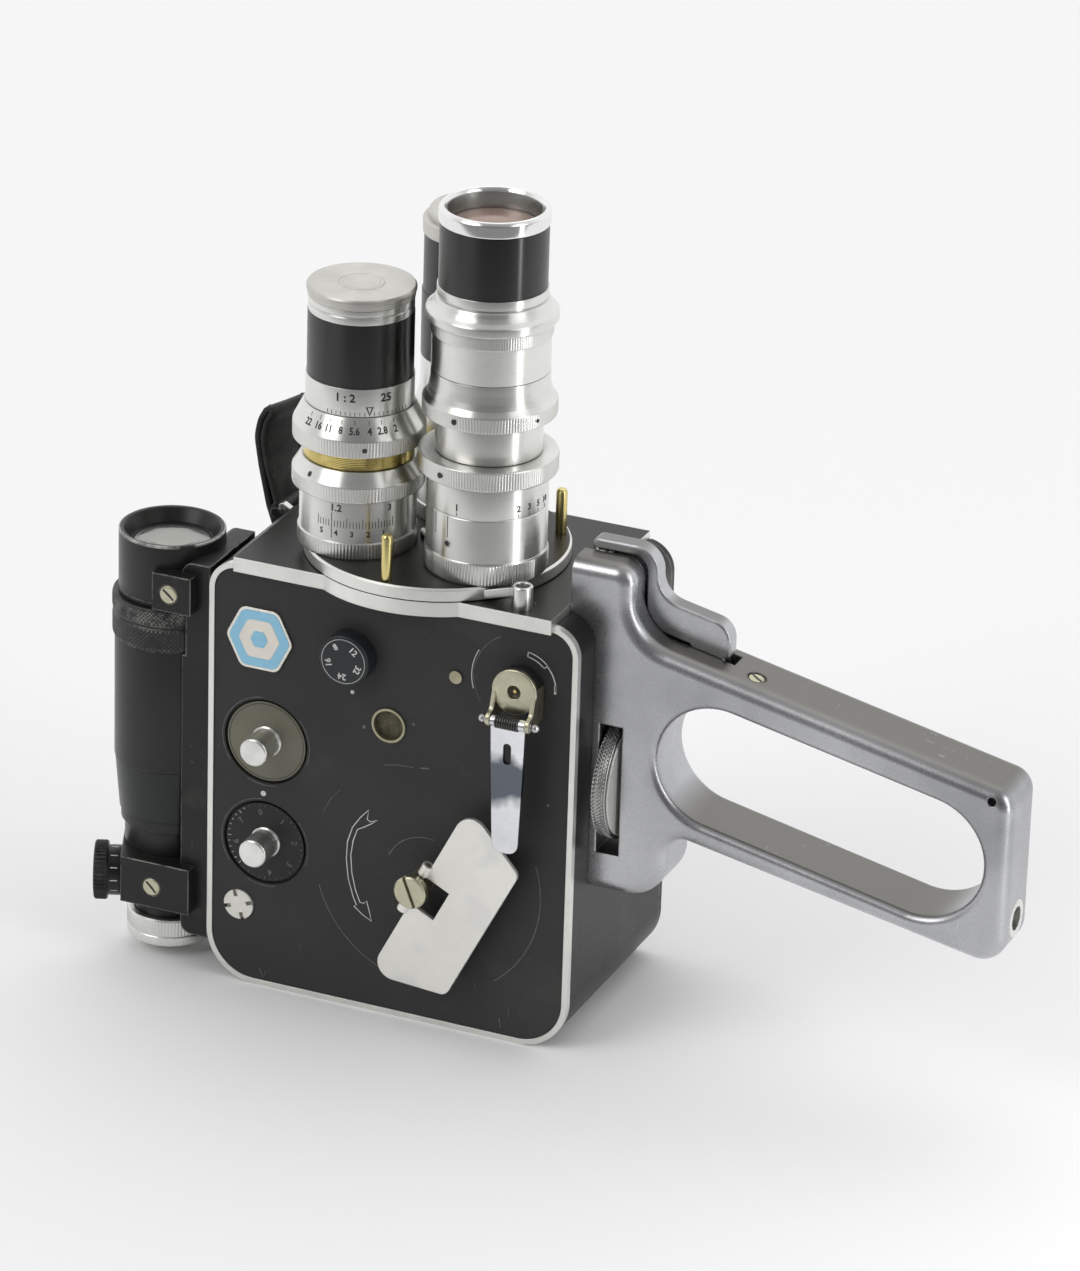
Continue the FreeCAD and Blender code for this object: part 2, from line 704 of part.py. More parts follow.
def works_plate():
    """Movement frame: works plate and bridge joined by four pillars, with the feed spindle."""
    frame = cavity(RUN, WORKS_Y, WORKS_Y1)
    frame = frame.fuse(cavity(PILLAR_IN - PILLAR_R - 1, SIDE_T, BRIDGE_Y1))
    low = WALL + PILLAR_IN
    for x in (low, BODY_W - low):
        for z in (low, CAVITY_TOP - PILLAR_IN):
            frame = frame.fuse(rod_y((x, z), PILLAR_R, BRIDGE_Y1 - 0.5, WORKS_Y + 0.5))
    frame = frame.fuse(rod_y(FEED_AT, FEED_R, WORKS_Y, WORKS_Y1 + FEED_L))
    arm_z = SHUTTER_MESH_Z - SHUTTER_PINION_H / 2 - FACE_RUN
    arm = box(SHUTTER_AT[0] - 4, SHUTTER_AT[0] + 4, SHUTTER_AT[1] - 3, WORKS_Y + 0.5,
              arm_z - 3, arm_z)
    frame = frame.fuse(arm)
    frame = frame.cut(rod_z(SHUTTER_AT, SPINDLE_R + RUN, arm_z - 4, arm_z + 1))
    for at, r in [(KEY_AT, ARBOR_R), (CENTRE_AT, WHEEL_SHAFT_R),
                  (TAKE_UP_AT, TAKE_UP_SHAFT_R)]:
        frame = frame.cut(rod_y(at, r + RUN, SIDE_T - 1, WORKS_Y1 + 1))
    for at, r in [(CRANK_AT, CRANK_SHAFT_R), (SPEED_AT, SPEED_SHAFT_R),
                  (COUNTER_AT, DIAL_SHAFT_R), (FRAME_DIAL_AT, DIAL_SHAFT_R)]:
        frame = frame.cut(rod_y(at, r + RUN, SIDE_T - 1, BRIDGE_Y1 + 1))
    return frame.removeSplitter()


def film_door():
    y0 = DOOR_Y + FACE_RUN
    door = prism_y(housing_outline(0, BODY_H), y0, BODY_D)
    rim = [e for e in door.Edges if abs(e.BoundBox.YMin - BODY_D) < 1e-6]
    door = door.makeFillet(DOOR_EDGE_R, rim)
    door = door.cut(plate_room(AIR, 0, BODY_D + 1))
    low = HINGE_LOW + HINGE_END + FACE_RUN
    high = HINGE_HIGH - HINGE_END - FACE_RUN
    leaf = box(-HINGE_OUT, 1.0, y0, y0 + HINGE_R - AIR, low, high)
    door = door.fuse(leaf).fuse(hinge_tube(low, high))
    ends = box(-HINGE_OUT - HINGE_R - 1, 0, y0 - 9, BODY_D, HINGE_LOW - AIR, low)
    upper = box(-HINGE_OUT - HINGE_R - 1, 0, y0 - 9, BODY_D, high, HINGE_HIGH + AIR)
    door = door.cut(ends).cut(upper)
    shell_side = box(-0.2, 5, DOOR_Y - 5, y0, low - 1, high + 1)
    door = door.cut(shell_side)
    pin_r = HINGE_PIN_R + RUN
    door = door.cut(rod_z((-HINGE_OUT, DOOR_Y), pin_r, HINGE_LOW, HINGE_HIGH))
    door = door.cut(rod_y(LATCH_AT, LATCH_STUD_R + RUN, DOOR_Y - 1, BODY_D + 1))
    recess = rod_y(LATCH_AT, LATCH_R + AIR, BODY_D - LATCH_RISE, BODY_D + 1)
    return door.cut(recess).removeSplitter()


def door_latch():
    """Turning disc with a finger bar outside and a locking bar inside the door."""
    y1 = BODY_D - LATCH_RISE + FACE_RUN
    disc = rod_y(LATCH_AT, LATCH_R, y1, BODY_D)
    bar = box(LATCH_AT[0] - LATCH_R + 1, LATCH_AT[0] + LATCH_R - 1, BODY_D - 0.2,
              BODY_D + 2.2, LATCH_AT[1] - 1.6, LATCH_AT[1] + 1.6)
    inside = DOOR_Y - FACE_RUN
    stud = rod_y(LATCH_AT, LATCH_STUD_R, inside - LATCH_BAR_T, y1 + 0.1)
    x0 = LATCH_AT[0] - LATCH_STUD_R - 1
    lock = box(x0, x0 + LATCH_BAR_L, inside - LATCH_BAR_T, inside,
               LATCH_AT[1] - LATCH_BAR_W / 2, LATCH_AT[1] + LATCH_BAR_W / 2)
    return disc.fuse(bar).fuse(stud).fuse(lock).removeSplitter()


def hinge_pins():
    """Steel pins of the door hinge and of the trigger."""
    door = rod_z((-HINGE_OUT, DOOR_Y), HINGE_PIN_R, HINGE_LOW, HINGE_HIGH)
    trigger = rod_y(TRIGGER_PIVOT, TRIGGER_PIN_R, GRIP_Y + 1, GRIP_Y + GRIP_T - 1)
    return Part.makeCompound([door, trigger])


def badge_plate():
    half_w = BADGE_W / 2
    half_h = BADGE_H / 2
    x, z = BADGE_AT
    corners = [(x - half_w, z, 2.5), (x - half_w * 0.55, z - half_h, 2.5),
               (x + half_w * 0.55, z - half_h, 2.5), (x + half_w, z, 2.5),
               (x + half_w * 0.55, z + half_h, 2.5), (x - half_w * 0.55, z + half_h, 2.5)]
    return prism_y(corners, PANEL_SUNK - BADGE_T, PANEL_SUNK)


def brass_fittings():
    """Eyelet ring and rivet in the side plate and the bush that takes the grip's screw."""
    eyelet = turned_y([(EYELET_BORE_R, PANEL_SUNK - EYELET_PROUD),
                       (EYELET_R, PANEL_SUNK - EYELET_PROUD), (EYELET_R, SIDE_T),
                       (EYELET_BORE_R, SIDE_T)], EYELET_AT)
    rivet = rod_y(RIVET_AT, RIVET_R, PANEL_SUNK - EYELET_PROUD, SIDE_T)
    inner = BODY_W - WALL
    bush = rod_x(GRIP_MID, THUMB_Z, BUSH_R, BODY_W - BUSH_L, BODY_W)
    bush = bush.fuse(rod_x(GRIP_MID, THUMB_Z, BUSH_FLANGE_R, inner - BUSH_FLANGE_T, inner))
    screw_way = rod_x(GRIP_MID, THUMB_Z, THUMB_SCREW_R + RUN, 0, BODY_W + 1)
    return Part.makeCompound([eyelet, rivet, bush.cut(screw_way)])


def slotted_nut():
    nut = rod_y(NUT_AT, NUT_R, PANEL_SUNK - EYELET_PROUD, SIDE_T)
    top = PANEL_SUNK - EYELET_PROUD
    for k in range(4):
        slot = box(NUT_R - NUT_SLOT_L, NUT_R + 1, top - 1, top + 1,
                   -NUT_SLOT_W / 2, NUT_SLOT_W / 2)
        slot.rotate(V(0, 0, 0), V(0, -1, 0), 17 + 90 * k)
        slot.translate(V(NUT_AT[0], 0, NUT_AT[1]))
        nut = nut.cut(slot)
    return nut


# Front plate and turret


def front_plate():
    plate = box(PLATE_INSET, BODY_W - PLATE_INSET, -PLATE_OVER, BODY_D - PLATE_OVER,
                PLATE_Z0, PLATE_Z1)
    bulge = rod_z(TURRET_AT, BULGE_R, PLATE_Z0, PLATE_Z1)
    plate = plate.fuse(bulge).removeSplitter()
    plate = plate.cut(rod_z(TURRET_AT, PIVOT_R, 0, PLATE_Z1 + 1))
    plate = plate.cut(rod_z(LENS_C_AT, APERTURE_R, 0, PLATE_Z1 + 1))
    plate = plate.cut(rod_z(RELEASE_AT, RELEASE_R, 0, PLATE_Z1 + 1))
    return plate.cut(rod_z(SHUTTER_AT, SPINDLE_R + RUN, 0, PLATE_Z0 + PLATE_T / 2))


def turret_pivot():
    stud = rod_z(TURRET_AT, PIVOT_R, PLATE_Z0, TURRET_Z1 + FACE_RUN)
    top = TURRET_Z1 + FACE_RUN
    head = turned([(0, top), (PIVOT_HEAD_R, top), (PIVOT_HEAD_R, top + PIVOT_HEAD_H - 0.5),
                   (PIVOT_HEAD_R - 0.5, top + PIVOT_HEAD_H), (0, top + PIVOT_HEAD_H)],
                  TURRET_AT)
    slot = box(TURRET_AT[0] - 7, TURRET_AT[0] + 7, TURRET_AT[1] - 0.6, TURRET_AT[1] + 0.6,
               top + PIVOT_HEAD_H - 0.9, top + 3)
    return stud.fuse(head).cut(slot).removeSplitter()


def release_socket():
    post = turned([(RELEASE_BORE_R, PLATE_Z0), (RELEASE_R, PLATE_Z0),
                   (RELEASE_R, PLATE_Z1 + RELEASE_H), (RELEASE_BORE_R, PLATE_Z1 + RELEASE_H)],
                  RELEASE_AT)
    return post


def turret_catch():
    """Pawl round the release post whose nose lies at the turret's rim."""
    reach = TURRET_R + AIR + CATCH_NOSE_R
    nose = (TURRET_AT[0] + reach * math.cos(math.radians(CATCH_ANGLE)),
            TURRET_AT[1] + reach * math.sin(math.radians(CATCH_ANGLE)))
    z0 = PLATE_Z1
    z1 = PLATE_Z1 + CATCH_T
    dx = nose[0] - RELEASE_AT[0]
    dy = nose[1] - RELEASE_AT[1]
    length = math.hypot(dx, dy)
    side = V(-dy / length, dx / length, 0)
    a = [(RELEASE_AT[0] + side.x * s, RELEASE_AT[1] + side.y * s) for s in (2.4, -2.4)]
    b = [(nose[0] + side.x * s, nose[1] + side.y * s) for s in (-CATCH_NOSE_R, CATCH_NOSE_R)]
    lever = prism_z(square([a[0], a[1], b[0], b[1]]), z0, z1)
    lever = lever.fuse(rod_z(nose, CATCH_NOSE_R, z0, z1))
    lever = lever.fuse(rod_z(RELEASE_AT, CATCH_EYE_R, z0, z1))
    clear = rod_z(TURRET_AT, TURRET_R + AIR, z0 - 1, z1 + 1)
    return lever.cut(rod_z(RELEASE_AT, RELEASE_R, z0 - 1, z1 + 1)).cut(clear).removeSplitter()


def turret_disc():
    disc = turned([(PIVOT_R + RUN, TURRET_Z0), (TURRET_R, TURRET_Z0),
                   (TURRET_R, TURRET_Z1 - 0.5), (TURRET_R - 0.5, TURRET_Z1),
                   (PIVOT_R + RUN, TURRET_Z1)], TURRET_AT)
    for at in (LENS_A_AT, LENS_B_AT, LENS_C_AT):
        disc = disc.cut(rod_z(at, LENS_PORT_R, TURRET_Z0 - 1, TURRET_Z1 + 1))
    return disc


def turret_pins():
    pins = []
    for angle in (-90, 30, 150):
        x = TURRET_AT[0] + TURRET_PIN_PITCH * math.cos(math.radians(angle))
        y = TURRET_AT[1] + TURRET_PIN_PITCH * math.sin(math.radians(angle))
        top = TURRET_Z1 + TURRET_PIN_H
        pin = turned([(0, TURRET_Z1), (TURRET_PIN_R, TURRET_Z1), (TURRET_PIN_R, top - 0.6),
                      (TURRET_PIN_R - 0.6, top), (0, top)], (x, y))
        pins.append(pin)
    return Part.makeCompound(pins)


# Lens heights, stacked from the turret's top

A_SCALE_Z = TURRET_Z1 + A_BASE_H
A_FOCUS_Z = A_SCALE_Z + A_SCALE_H
A_HELICOID_Z = A_FOCUS_Z + A_FOCUS_RIM_H + A_FOCUS_CONE_H
A_IRIS_Z = A_HELICOID_Z + A_HELICOID_H
A_NAME_Z = A_IRIS_Z + A_IRIS_RIM_H + A_IRIS_CONE_H
A_HOOD_Z = A_NAME_Z + A_NAME_H
A_STEP_Z = A_HOOD_Z + A_HOOD_H
A_CAP_Z = A_STEP_Z + A_STEP_H

B_SCALE_Z = TURRET_Z1 + B_BASE_H
B_FOCUS_Z = B_SCALE_Z + B_SCALE_H
B_NECK_Z = B_FOCUS_Z + B_FOCUS_H
B_IRIS_Z = B_NECK_Z + B_NECK_H
B_TUBE_Z = B_IRIS_Z + B_IRIS_RIM_H + B_IRIS_CONE_H
B_FLANGE_Z = B_TUBE_Z + B_TUBE_H
B_SLOPE_Z = B_FLANGE_Z + B_FLANGE_H
B_SILVER_Z = B_SLOPE_Z + B_SLOPE_H
B_HOOD_Z = B_SILVER_Z + B_SILVER_H
B_RIM_Z = B_HOOD_Z + B_HOOD_H
B_TOP_Z = B_RIM_Z + B_RIM_H

C_SCALE_Z = TURRET_Z1 + C_BASE_H
C_FOCUS_Z = C_SCALE_Z + C_SCALE_H
C_FLARE_Z = C_FOCUS_Z + C_FOCUS_RIM_H + C_FOCUS_CONE_H
C_SILVER_Z = C_FLARE_Z + C_FLARE_H
C_DARK_Z = C_SILVER_Z + C_SILVER_H
C_HOOD_Z = C_DARK_Z + C_DARK_H
C_CAP_Z = C_HOOD_Z + C_HOOD_H


def barrel(base_r, scale_r, scale_z, ring_z, core_top, at):
    """Lens base and scale barrel with the core on which the rings turn."""
    return turned([(LENS_BORE_R, TURRET_Z1), (base_r, TURRET_Z1), (base_r, scale_z),
                   (scale_r, scale_z), (scale_r, ring_z), (LENS_CORE_R, ring_z),
                   (LENS_CORE_R, core_top), (LENS_BORE_R, core_top)], at)


def turning_ring(rim_r, rim_h, neck_r, cone_h, z0, at):
    """Ring with a straight rim and a cone above it, running on a lens core."""
    bore = LENS_CORE_R + RUN
    top = z0 + rim_h + cone_h - FACE_RUN
    return turned([(bore, z0 + FACE_RUN), (rim_r - 0.3, z0 + FACE_RUN),
                   (rim_r, z0 + FACE_RUN + 0.3), (rim_r, z0 + rim_h), (neck_r, top),
                   (bore, top)], at)


def lens_a_barrel():
    return barrel(A_BASE_R, A_SCALE_R, A_SCALE_Z, A_FOCUS_Z, A_NAME_Z, LENS_A_AT)


def lens_a_focus_ring():
    return turning_ring(A_FOCUS_R, A_FOCUS_RIM_H, A_FOCUS_NECK_R, A_FOCUS_CONE_H, A_FOCUS_Z,
                        LENS_A_AT)


def lens_a_helicoid():
    return turned([(LENS_CORE_R, A_HELICOID_Z), (A_HELICOID_R, A_HELICOID_Z),
                   (A_HELICOID_R, A_IRIS_Z), (LENS_CORE_R, A_IRIS_Z)], LENS_A_AT)


def lens_a_iris_ring():
    return turning_ring(A_IRIS_R, A_IRIS_RIM_H, A_IRIS_NECK_R, A_IRIS_CONE_H, A_IRIS_Z,
                        LENS_A_AT)


def lens_a_head():
    mouth = CAP_PLUG_R + RUN
    seat = A_CAP_Z - CAP_PLUG_H - FACE_RUN - GLASS_T - GLASS_CROWN
    return turned([(LENS_BORE_R, A_NAME_Z), (A_NAME_R, A_NAME_Z), (A_NAME_R, A_HOOD_Z),
                   (A_HOOD_R, A_HOOD_Z), (A_HOOD_R, A_STEP_Z), (A_STEP_R, A_STEP_Z),
                   (A_STEP_R, A_CAP_Z), (mouth, A_CAP_Z), (mouth, seat),
                   (LENS_BORE_R, seat)], LENS_A_AT)


def lens_a_cap():
    z0 = A_CAP_Z + FACE_RUN
    top = A_CAP_Z + A_CAP_H
    low = A_CAP_Z - CAP_PLUG_H
    return turned([(0, top - CAP_WALL), (CAP_PLUG_R - CAP_WALL, top - CAP_WALL),
                   (CAP_PLUG_R - CAP_WALL, low), (CAP_PLUG_R, low), (CAP_PLUG_R, z0),
                   (A_CAP_R, z0), (A_CAP_R, top - 0.5), (A_CAP_R - 0.5, top), (0, top)],
                  LENS_A_AT)


def lens_b_barrel():
    return turned([(LENS_BORE_R, TURRET_Z1), (B_BASE_R, TURRET_Z1), (B_BASE_R, B_SCALE_Z),
                   (B_SCALE_R, B_SCALE_Z), (B_SCALE_R, B_FOCUS_Z), (LENS_CORE_R, B_FOCUS_Z),
                   (LENS_CORE_R, B_NECK_Z), (B_NECK_R, B_NECK_Z), (B_NECK_R, B_IRIS_Z),
                   (LENS_CORE_R, B_IRIS_Z), (LENS_CORE_R, B_TUBE_Z),
                   (LENS_BORE_R, B_TUBE_Z)], LENS_B_AT)


def lens_b_focus_ring():
    bore = LENS_CORE_R + RUN
    z0 = B_FOCUS_Z + FACE_RUN
    z1 = B_NECK_Z - FACE_RUN
    return turned([(bore, z0), (B_FOCUS_R - 0.4, z0), (B_FOCUS_R, z0 + 0.4),
                   (B_FOCUS_R, z1 - 0.4), (B_FOCUS_R - 0.4, z1), (bore, z1)], LENS_B_AT)


def lens_b_iris_ring():
    return turning_ring(B_IRIS_R, B_IRIS_RIM_H, B_IRIS_NECK_R, B_IRIS_CONE_H, B_IRIS_Z,
                        LENS_B_AT)


def lens_b_head():
    seat = B_TOP_Z - B_MOUTH_DEPTH
    return turned([(LENS_BORE_R, B_TUBE_Z), (B_IRIS_NECK_R, B_TUBE_Z),
                   (B_IRIS_NECK_R, B_FLANGE_Z), (B_FLANGE_R, B_FLANGE_Z),
                   (B_FLANGE_R, B_SLOPE_Z), (B_SLOPE_R, B_SILVER_Z), (B_SLOPE_R, B_HOOD_Z),
                   (B_HOOD_R, B_HOOD_Z), (B_HOOD_R, B_RIM_Z), (B_RIM_R, B_RIM_Z),
                   (B_RIM_R, B_TOP_Z - 0.5), (B_RIM_R - 0.5, B_TOP_Z), (B_MOUTH_R, B_TOP_Z),
                   (B_MOUTH_R, seat), (LENS_BORE_R, seat)], LENS_B_AT)


def lens_c_barrel():
    return barrel(C_BASE_R, C_SCALE_R, C_SCALE_Z, C_FOCUS_Z, C_FLARE_Z, LENS_C_AT)


def lens_c_focus_ring():
    return turning_ring(C_FOCUS_R, C_FOCUS_RIM_H, C_FOCUS_NECK_R, C_FOCUS_CONE_H, C_FOCUS_Z,
                        LENS_C_AT)


def lens_c_head():
    mouth = CAP_PLUG_R + RUN
    seat = C_CAP_Z - CAP_PLUG_H - FACE_RUN - GLASS_T - GLASS_CROWN
    return turned([(LENS_BORE_R, C_FLARE_Z), (C_FLARE_R, C_FLARE_Z),
                   (C_SILVER_R, C_SILVER_Z), (C_SILVER_R, C_DARK_Z), (C_DARK_R, C_DARK_Z),
                   (C_DARK_R, C_HOOD_Z), (C_HOOD_R, C_HOOD_Z), (C_HOOD_R, C_CAP_Z),
                   (mouth, C_CAP_Z), (mouth, seat), (LENS_BORE_R, seat)], LENS_C_AT)


def lens_c_cap():
    z0 = C_CAP_Z + FACE_RUN
    step = C_CAP_Z + C_CAP_H
    top = step + C_CAP_TOP_H
    low = C_CAP_Z - CAP_PLUG_H
    return turned([(0, top - CAP_WALL), (CAP_PLUG_R - CAP_WALL, top - CAP_WALL),
                   (CAP_PLUG_R - CAP_WALL, low), (CAP_PLUG_R, low), (CAP_PLUG_R, z0),
                   (C_CAP_R, z0), (C_CAP_R, step - 0.4), (C_CAP_R - 0.4, step),
                   (C_CAP_TOP_R, step), (C_CAP_TOP_R, top - 0.4), (C_CAP_TOP_R - 0.4, top),
                   (0, top)], LENS_C_AT)


def crowned_glass(r, z, at):
    """Round glass with a flat back at a height and a shallow crown."""
    bend = (r * r + GLASS_CROWN * GLASS_CROWN) / (2 * GLASS_CROWN)
    disc = rod_z(at, r, z, z + GLASS_T + GLASS_CROWN)
    ball = Part.makeSphere(bend, V(at[0], at[1], z + GLASS_T + GLASS_CROWN - bend))
    return disc.common(ball)


def lens_elements():
    """Front glasses of the three lenses."""
    under_cap = CAP_PLUG_H + FACE_RUN + GLASS_T + GLASS_CROWN
    glass_a = crowned_glass(CAP_PLUG_R, A_CAP_Z - under_cap, LENS_A_AT)
    glass_b = crowned_glass(B_MOUTH_R - RUN, B_TOP_Z - B_MOUTH_DEPTH, LENS_B_AT)
    glass_c = crowned_glass(CAP_PLUG_R, C_CAP_Z - under_cap, LENS_C_AT)
    return Part.makeCompound([glass_a, glass_b, glass_c])


# Dials, crank and key on the side plate


def speed_dial():
    top = PANEL_SUNK - SPEED_H
    return turned_y([(0, top), (SPEED_R - 0.6, top), (SPEED_R, top + 0.6),
                     (SPEED_R, PANEL_SUNK - FACE_RUN), (SPEED_SHAFT_R, PANEL_SUNK - FACE_RUN),
                     (SPEED_SHAFT_R, BRIDGE_Y1), (0, BRIDGE_Y1)], SPEED_AT)


def dial_disc(at):
    floor = PANEL_SUNK + DIAL_POCKET - FACE_RUN
    return turned_y([(0, floor - DIAL_T), (DIAL_R, floor - DIAL_T), (DIAL_R, floor),
                     (DIAL_SHAFT_R, floor), (DIAL_SHAFT_R, BRIDGE_Y1), (0, BRIDGE_Y1)], at)


def dial_knob(at):
    base = PANEL_SUNK + DIAL_POCKET - FACE_RUN - DIAL_T
    top = PANEL_SUNK - KNOB_H
    return turned_y([(0, top), (KNOB_R - KNOB_EDGE, top), (KNOB_R, top + KNOB_EDGE),
                     (KNOB_R, base), (0, base)], at)


def crank_hub():
    """Hub disc on its shaft, with the bracket that carries the arm's pin."""
    x, z = CRANK_AT
    top = -CRANK_HUB_TOP
    foot = PANEL_SUNK - FACE_RUN
    hub = rod_y(CRANK_AT, CRANK_HUB_R, top, foot)
    hub = hub.fuse(rod_y(CRANK_AT, CRANK_SHAFT_R, foot - 0.1, BRIDGE_Y1))
    pin_z = z - CRANK_DROP
    pin_y = -CRANK_PIN_LIFT
    inner = ARM_TOP_W / 2 + FACE_RUN
    for x0 in (x - inner - CRANK_EAR_T, x + inner):
        ear = box(x0, x0 + CRANK_EAR_T, pin_y, foot - 1, pin_z - 1, z - CRANK_HUB_R * 0.45)
        ear = ear.fuse(rod_x(pin_y, pin_z, CRANK_EAR_R, x0, x0 + CRANK_EAR_T))
        hub = hub.fuse(ear)
    bridge = box(x - inner, x + inner, foot - 2.2, foot - 1, pin_z - 1, z)
    hub = hub.fuse(bridge)
    pin = rod_x(pin_y, pin_z, CRANK_PIN_R, x - CRANK_PIN_L / 2, x + CRANK_PIN_L / 2)
    for end in (x - CRANK_PIN_L / 2, x + CRANK_PIN_L / 2):
        pin = pin.fuse(Part.makeSphere(CRANK_PIN_R + 0.5, V(end, pin_y, pin_z)))
    hub = hub.fuse(pin)
    return hub.cut(rod_y(CRANK_AT, CRANK_SCREW_R, top - 1, top + 1.2)).removeSplitter()


def crank_arm():
    x = CRANK_AT[0]
    pin_z = CRANK_AT[1] - CRANK_DROP
    pin_y = -CRANK_PIN_LIFT
    y0 = pin_y - ARM_T / 2
    y1 = pin_y + ARM_T / 2
    half = ARM_TOP_W / 2
    tip = ARM_TIP_W / 2
    corners = [(x - half, pin_z, 0), (x - half + 0.4, pin_z - 14, 0),
               (x - tip, pin_z - ARM_L, tip * 0.8), (x + tip, pin_z - ARM_L, tip * 0.8),
               (x + half - 0.4, pin_z - 14, 0), (x + half, pin_z, 0)]
    arm = prism_y(corners, y0, y1)
    arm = arm.fuse(rod_x(pin_y, pin_z, ARM_KNUCKLE_R, x - half, x + half))
    s = ARM_SLOT_W / 2
    low = pin_z - ARM_SLOT_DOWN - ARM_SLOT_L
    high = pin_z - ARM_SLOT_DOWN
    slot = [(x - s, low, s * 0.95), (x + s, low, s * 0.95), (x + s, high, s * 0.95),
            (x - s, high, s * 0.95)]
    arm = arm.cut(prism_y(slot, y0 - 1, y1 + 1))
    return arm.cut(rod_x(pin_y, pin_z, CRANK_PIN_R + RUN, x - 20, x + 20)).removeSplitter()


def winding_arbor():
    """Square-slotted head, shaft and cross pin that the folding key turns."""
    head_y = -KEY_HEAD_TOP
    shaft = rod_y(KEY_AT, ARBOR_R, head_y + 0.5, WORKS_Y1)
    head = turned_y([(0, head_y), (KEY_HEAD_R - 0.4, head_y), (KEY_HEAD_R, head_y + 0.4),
                     (KEY_HEAD_R, head_y + KEY_HEAD_T), (0, head_y + KEY_HEAD_T)], KEY_AT)
    arbor = shaft.fuse(head)
    slot = box(-KEY_HEAD_R - 1, KEY_HEAD_R + 1, head_y - 1, head_y + KEY_SLOT_D,
               -KEY_SLOT_W / 2, KEY_SLOT_W / 2)
    slot.rotate(V(0, 0, 0), V(0, -1, 0), -68)
    slot.translate(V(KEY_AT[0], 0, KEY_AT[1]))
    arbor = arbor.cut(slot)
    length = KEY_NOTCH_HALF + KEY_KNUCKLE_L
    direction = V(math.cos(math.radians(KEY_ANGLE)), 0, math.sin(math.radians(KEY_ANGLE)))
    middle = V(KEY_AT[0], -KEY_HINGE_LIFT, KEY_AT[1])
    pin = Part.makeCylinder(KEY_PIN_R, 2 * length, middle - direction * length, direction)
    return arbor.fuse(pin).removeSplitter()


def winding_key():
    """Folding plate of the key, drawn along X and then turned to its angle."""
    y0 = -KEY_T / 2
    y1 = KEY_T / 2
    near = -KEY_NEAR
    far = -KEY_FAR
    notch = -KEY_NOTCH_DEPTH
    corners = [(KEY_NEAR_HALF, near, KEY_NEAR_R), (KEY_NOTCH_HALF, near, 0),
               (KEY_NOTCH_HALF, notch, 0), (-KEY_NOTCH_HALF, notch, 0),
               (-KEY_NOTCH_HALF, near, 0), (-KEY_NEAR_HALF, near, KEY_NEAR_R),
               (-KEY_FAR_HALF, far, KEY_FAR_R), (KEY_FAR_HALF, far, KEY_FAR_R)]
    plate = prism_y(corners, y0, y1)
    for x0 in (KEY_NOTCH_HALF, -KEY_NOTCH_HALF - KEY_KNUCKLE_L):
        x1 = x0 + KEY_KNUCKLE_L
        plate = plate.fuse(rod_x(0, 0, KEY_KNUCKLE_R, x0, x1))
        plate = plate.fuse(box(x0, x1, y0, y1, near - 1, 0))
    plate = plate.cut(rod_x(0, 0, KEY_PIN_R + RUN, -40, 40)).removeSplitter()
    plate.rotate(V(0, 0, 0), V(0, -1, 0), KEY_ANGLE)
    plate.translate(V(KEY_AT[0], -KEY_HINGE_LIFT, KEY_AT[1]))
    return plate


# Clockwork


def gear(at, teeth, pitch_r, y0, y1, phase, thick):
    """Straight-sided spur gear in the plane of X and Z, with a tooth at a phase angle."""
    addendum = 0.9 * MODULE
    dedendum = 1.2 * MODULE
    corners = []
    for k in range(teeth):
        middle = math.radians(phase + 360.0 * k / teeth)
        for r, width in ((pitch_r - dedendum, -thick * 0.65), (pitch_r + addendum, -thick * 0.3),
                         (pitch_r + addendum, thick * 0.3), (pitch_r - dedendum, thick * 0.65)):
            angle = middle + width / r
            corners.append((at[0] + r * math.cos(angle), at[1] + r * math.sin(angle), 0))
    return prism_y(corners, y0, y1)


def meshed(phase, teeth, mate_teeth, bearing):
    """Phase of a gear that meshes with another one lying at a bearing from it."""
    own = 360.0 / teeth
    mate = 360.0 / mate_teeth
    return bearing + 180 - mate * ((phase - bearing) / own + 0.5)


def spring_barrel():
    """Mainspring drum with its great wheel, running on the arbor."""
    wheel = gear(KEY_AT, BARREL_TEETH, BARREL_PITCH_R, GEAR_Y, GEAR_Y + GEAR_T, 0, MODULE * 1.3)
    drum = turned_y([(0, DRUM_Y), (DRUM_R - 1, DRUM_Y), (DRUM_R, DRUM_Y + 1),
                     (DRUM_R, DRUM_Y + DRUM_L), (DRUM_NECK_R, DRUM_Y + DRUM_L),
                     (DRUM_NECK_R, GEAR_Y + 1), (0, GEAR_Y + 1)], KEY_AT)
    body = wheel.fuse(drum)
    return body.cut(rod_y(KEY_AT, ARBOR_R + RUN, 0, WORKS_Y)).removeSplitter()


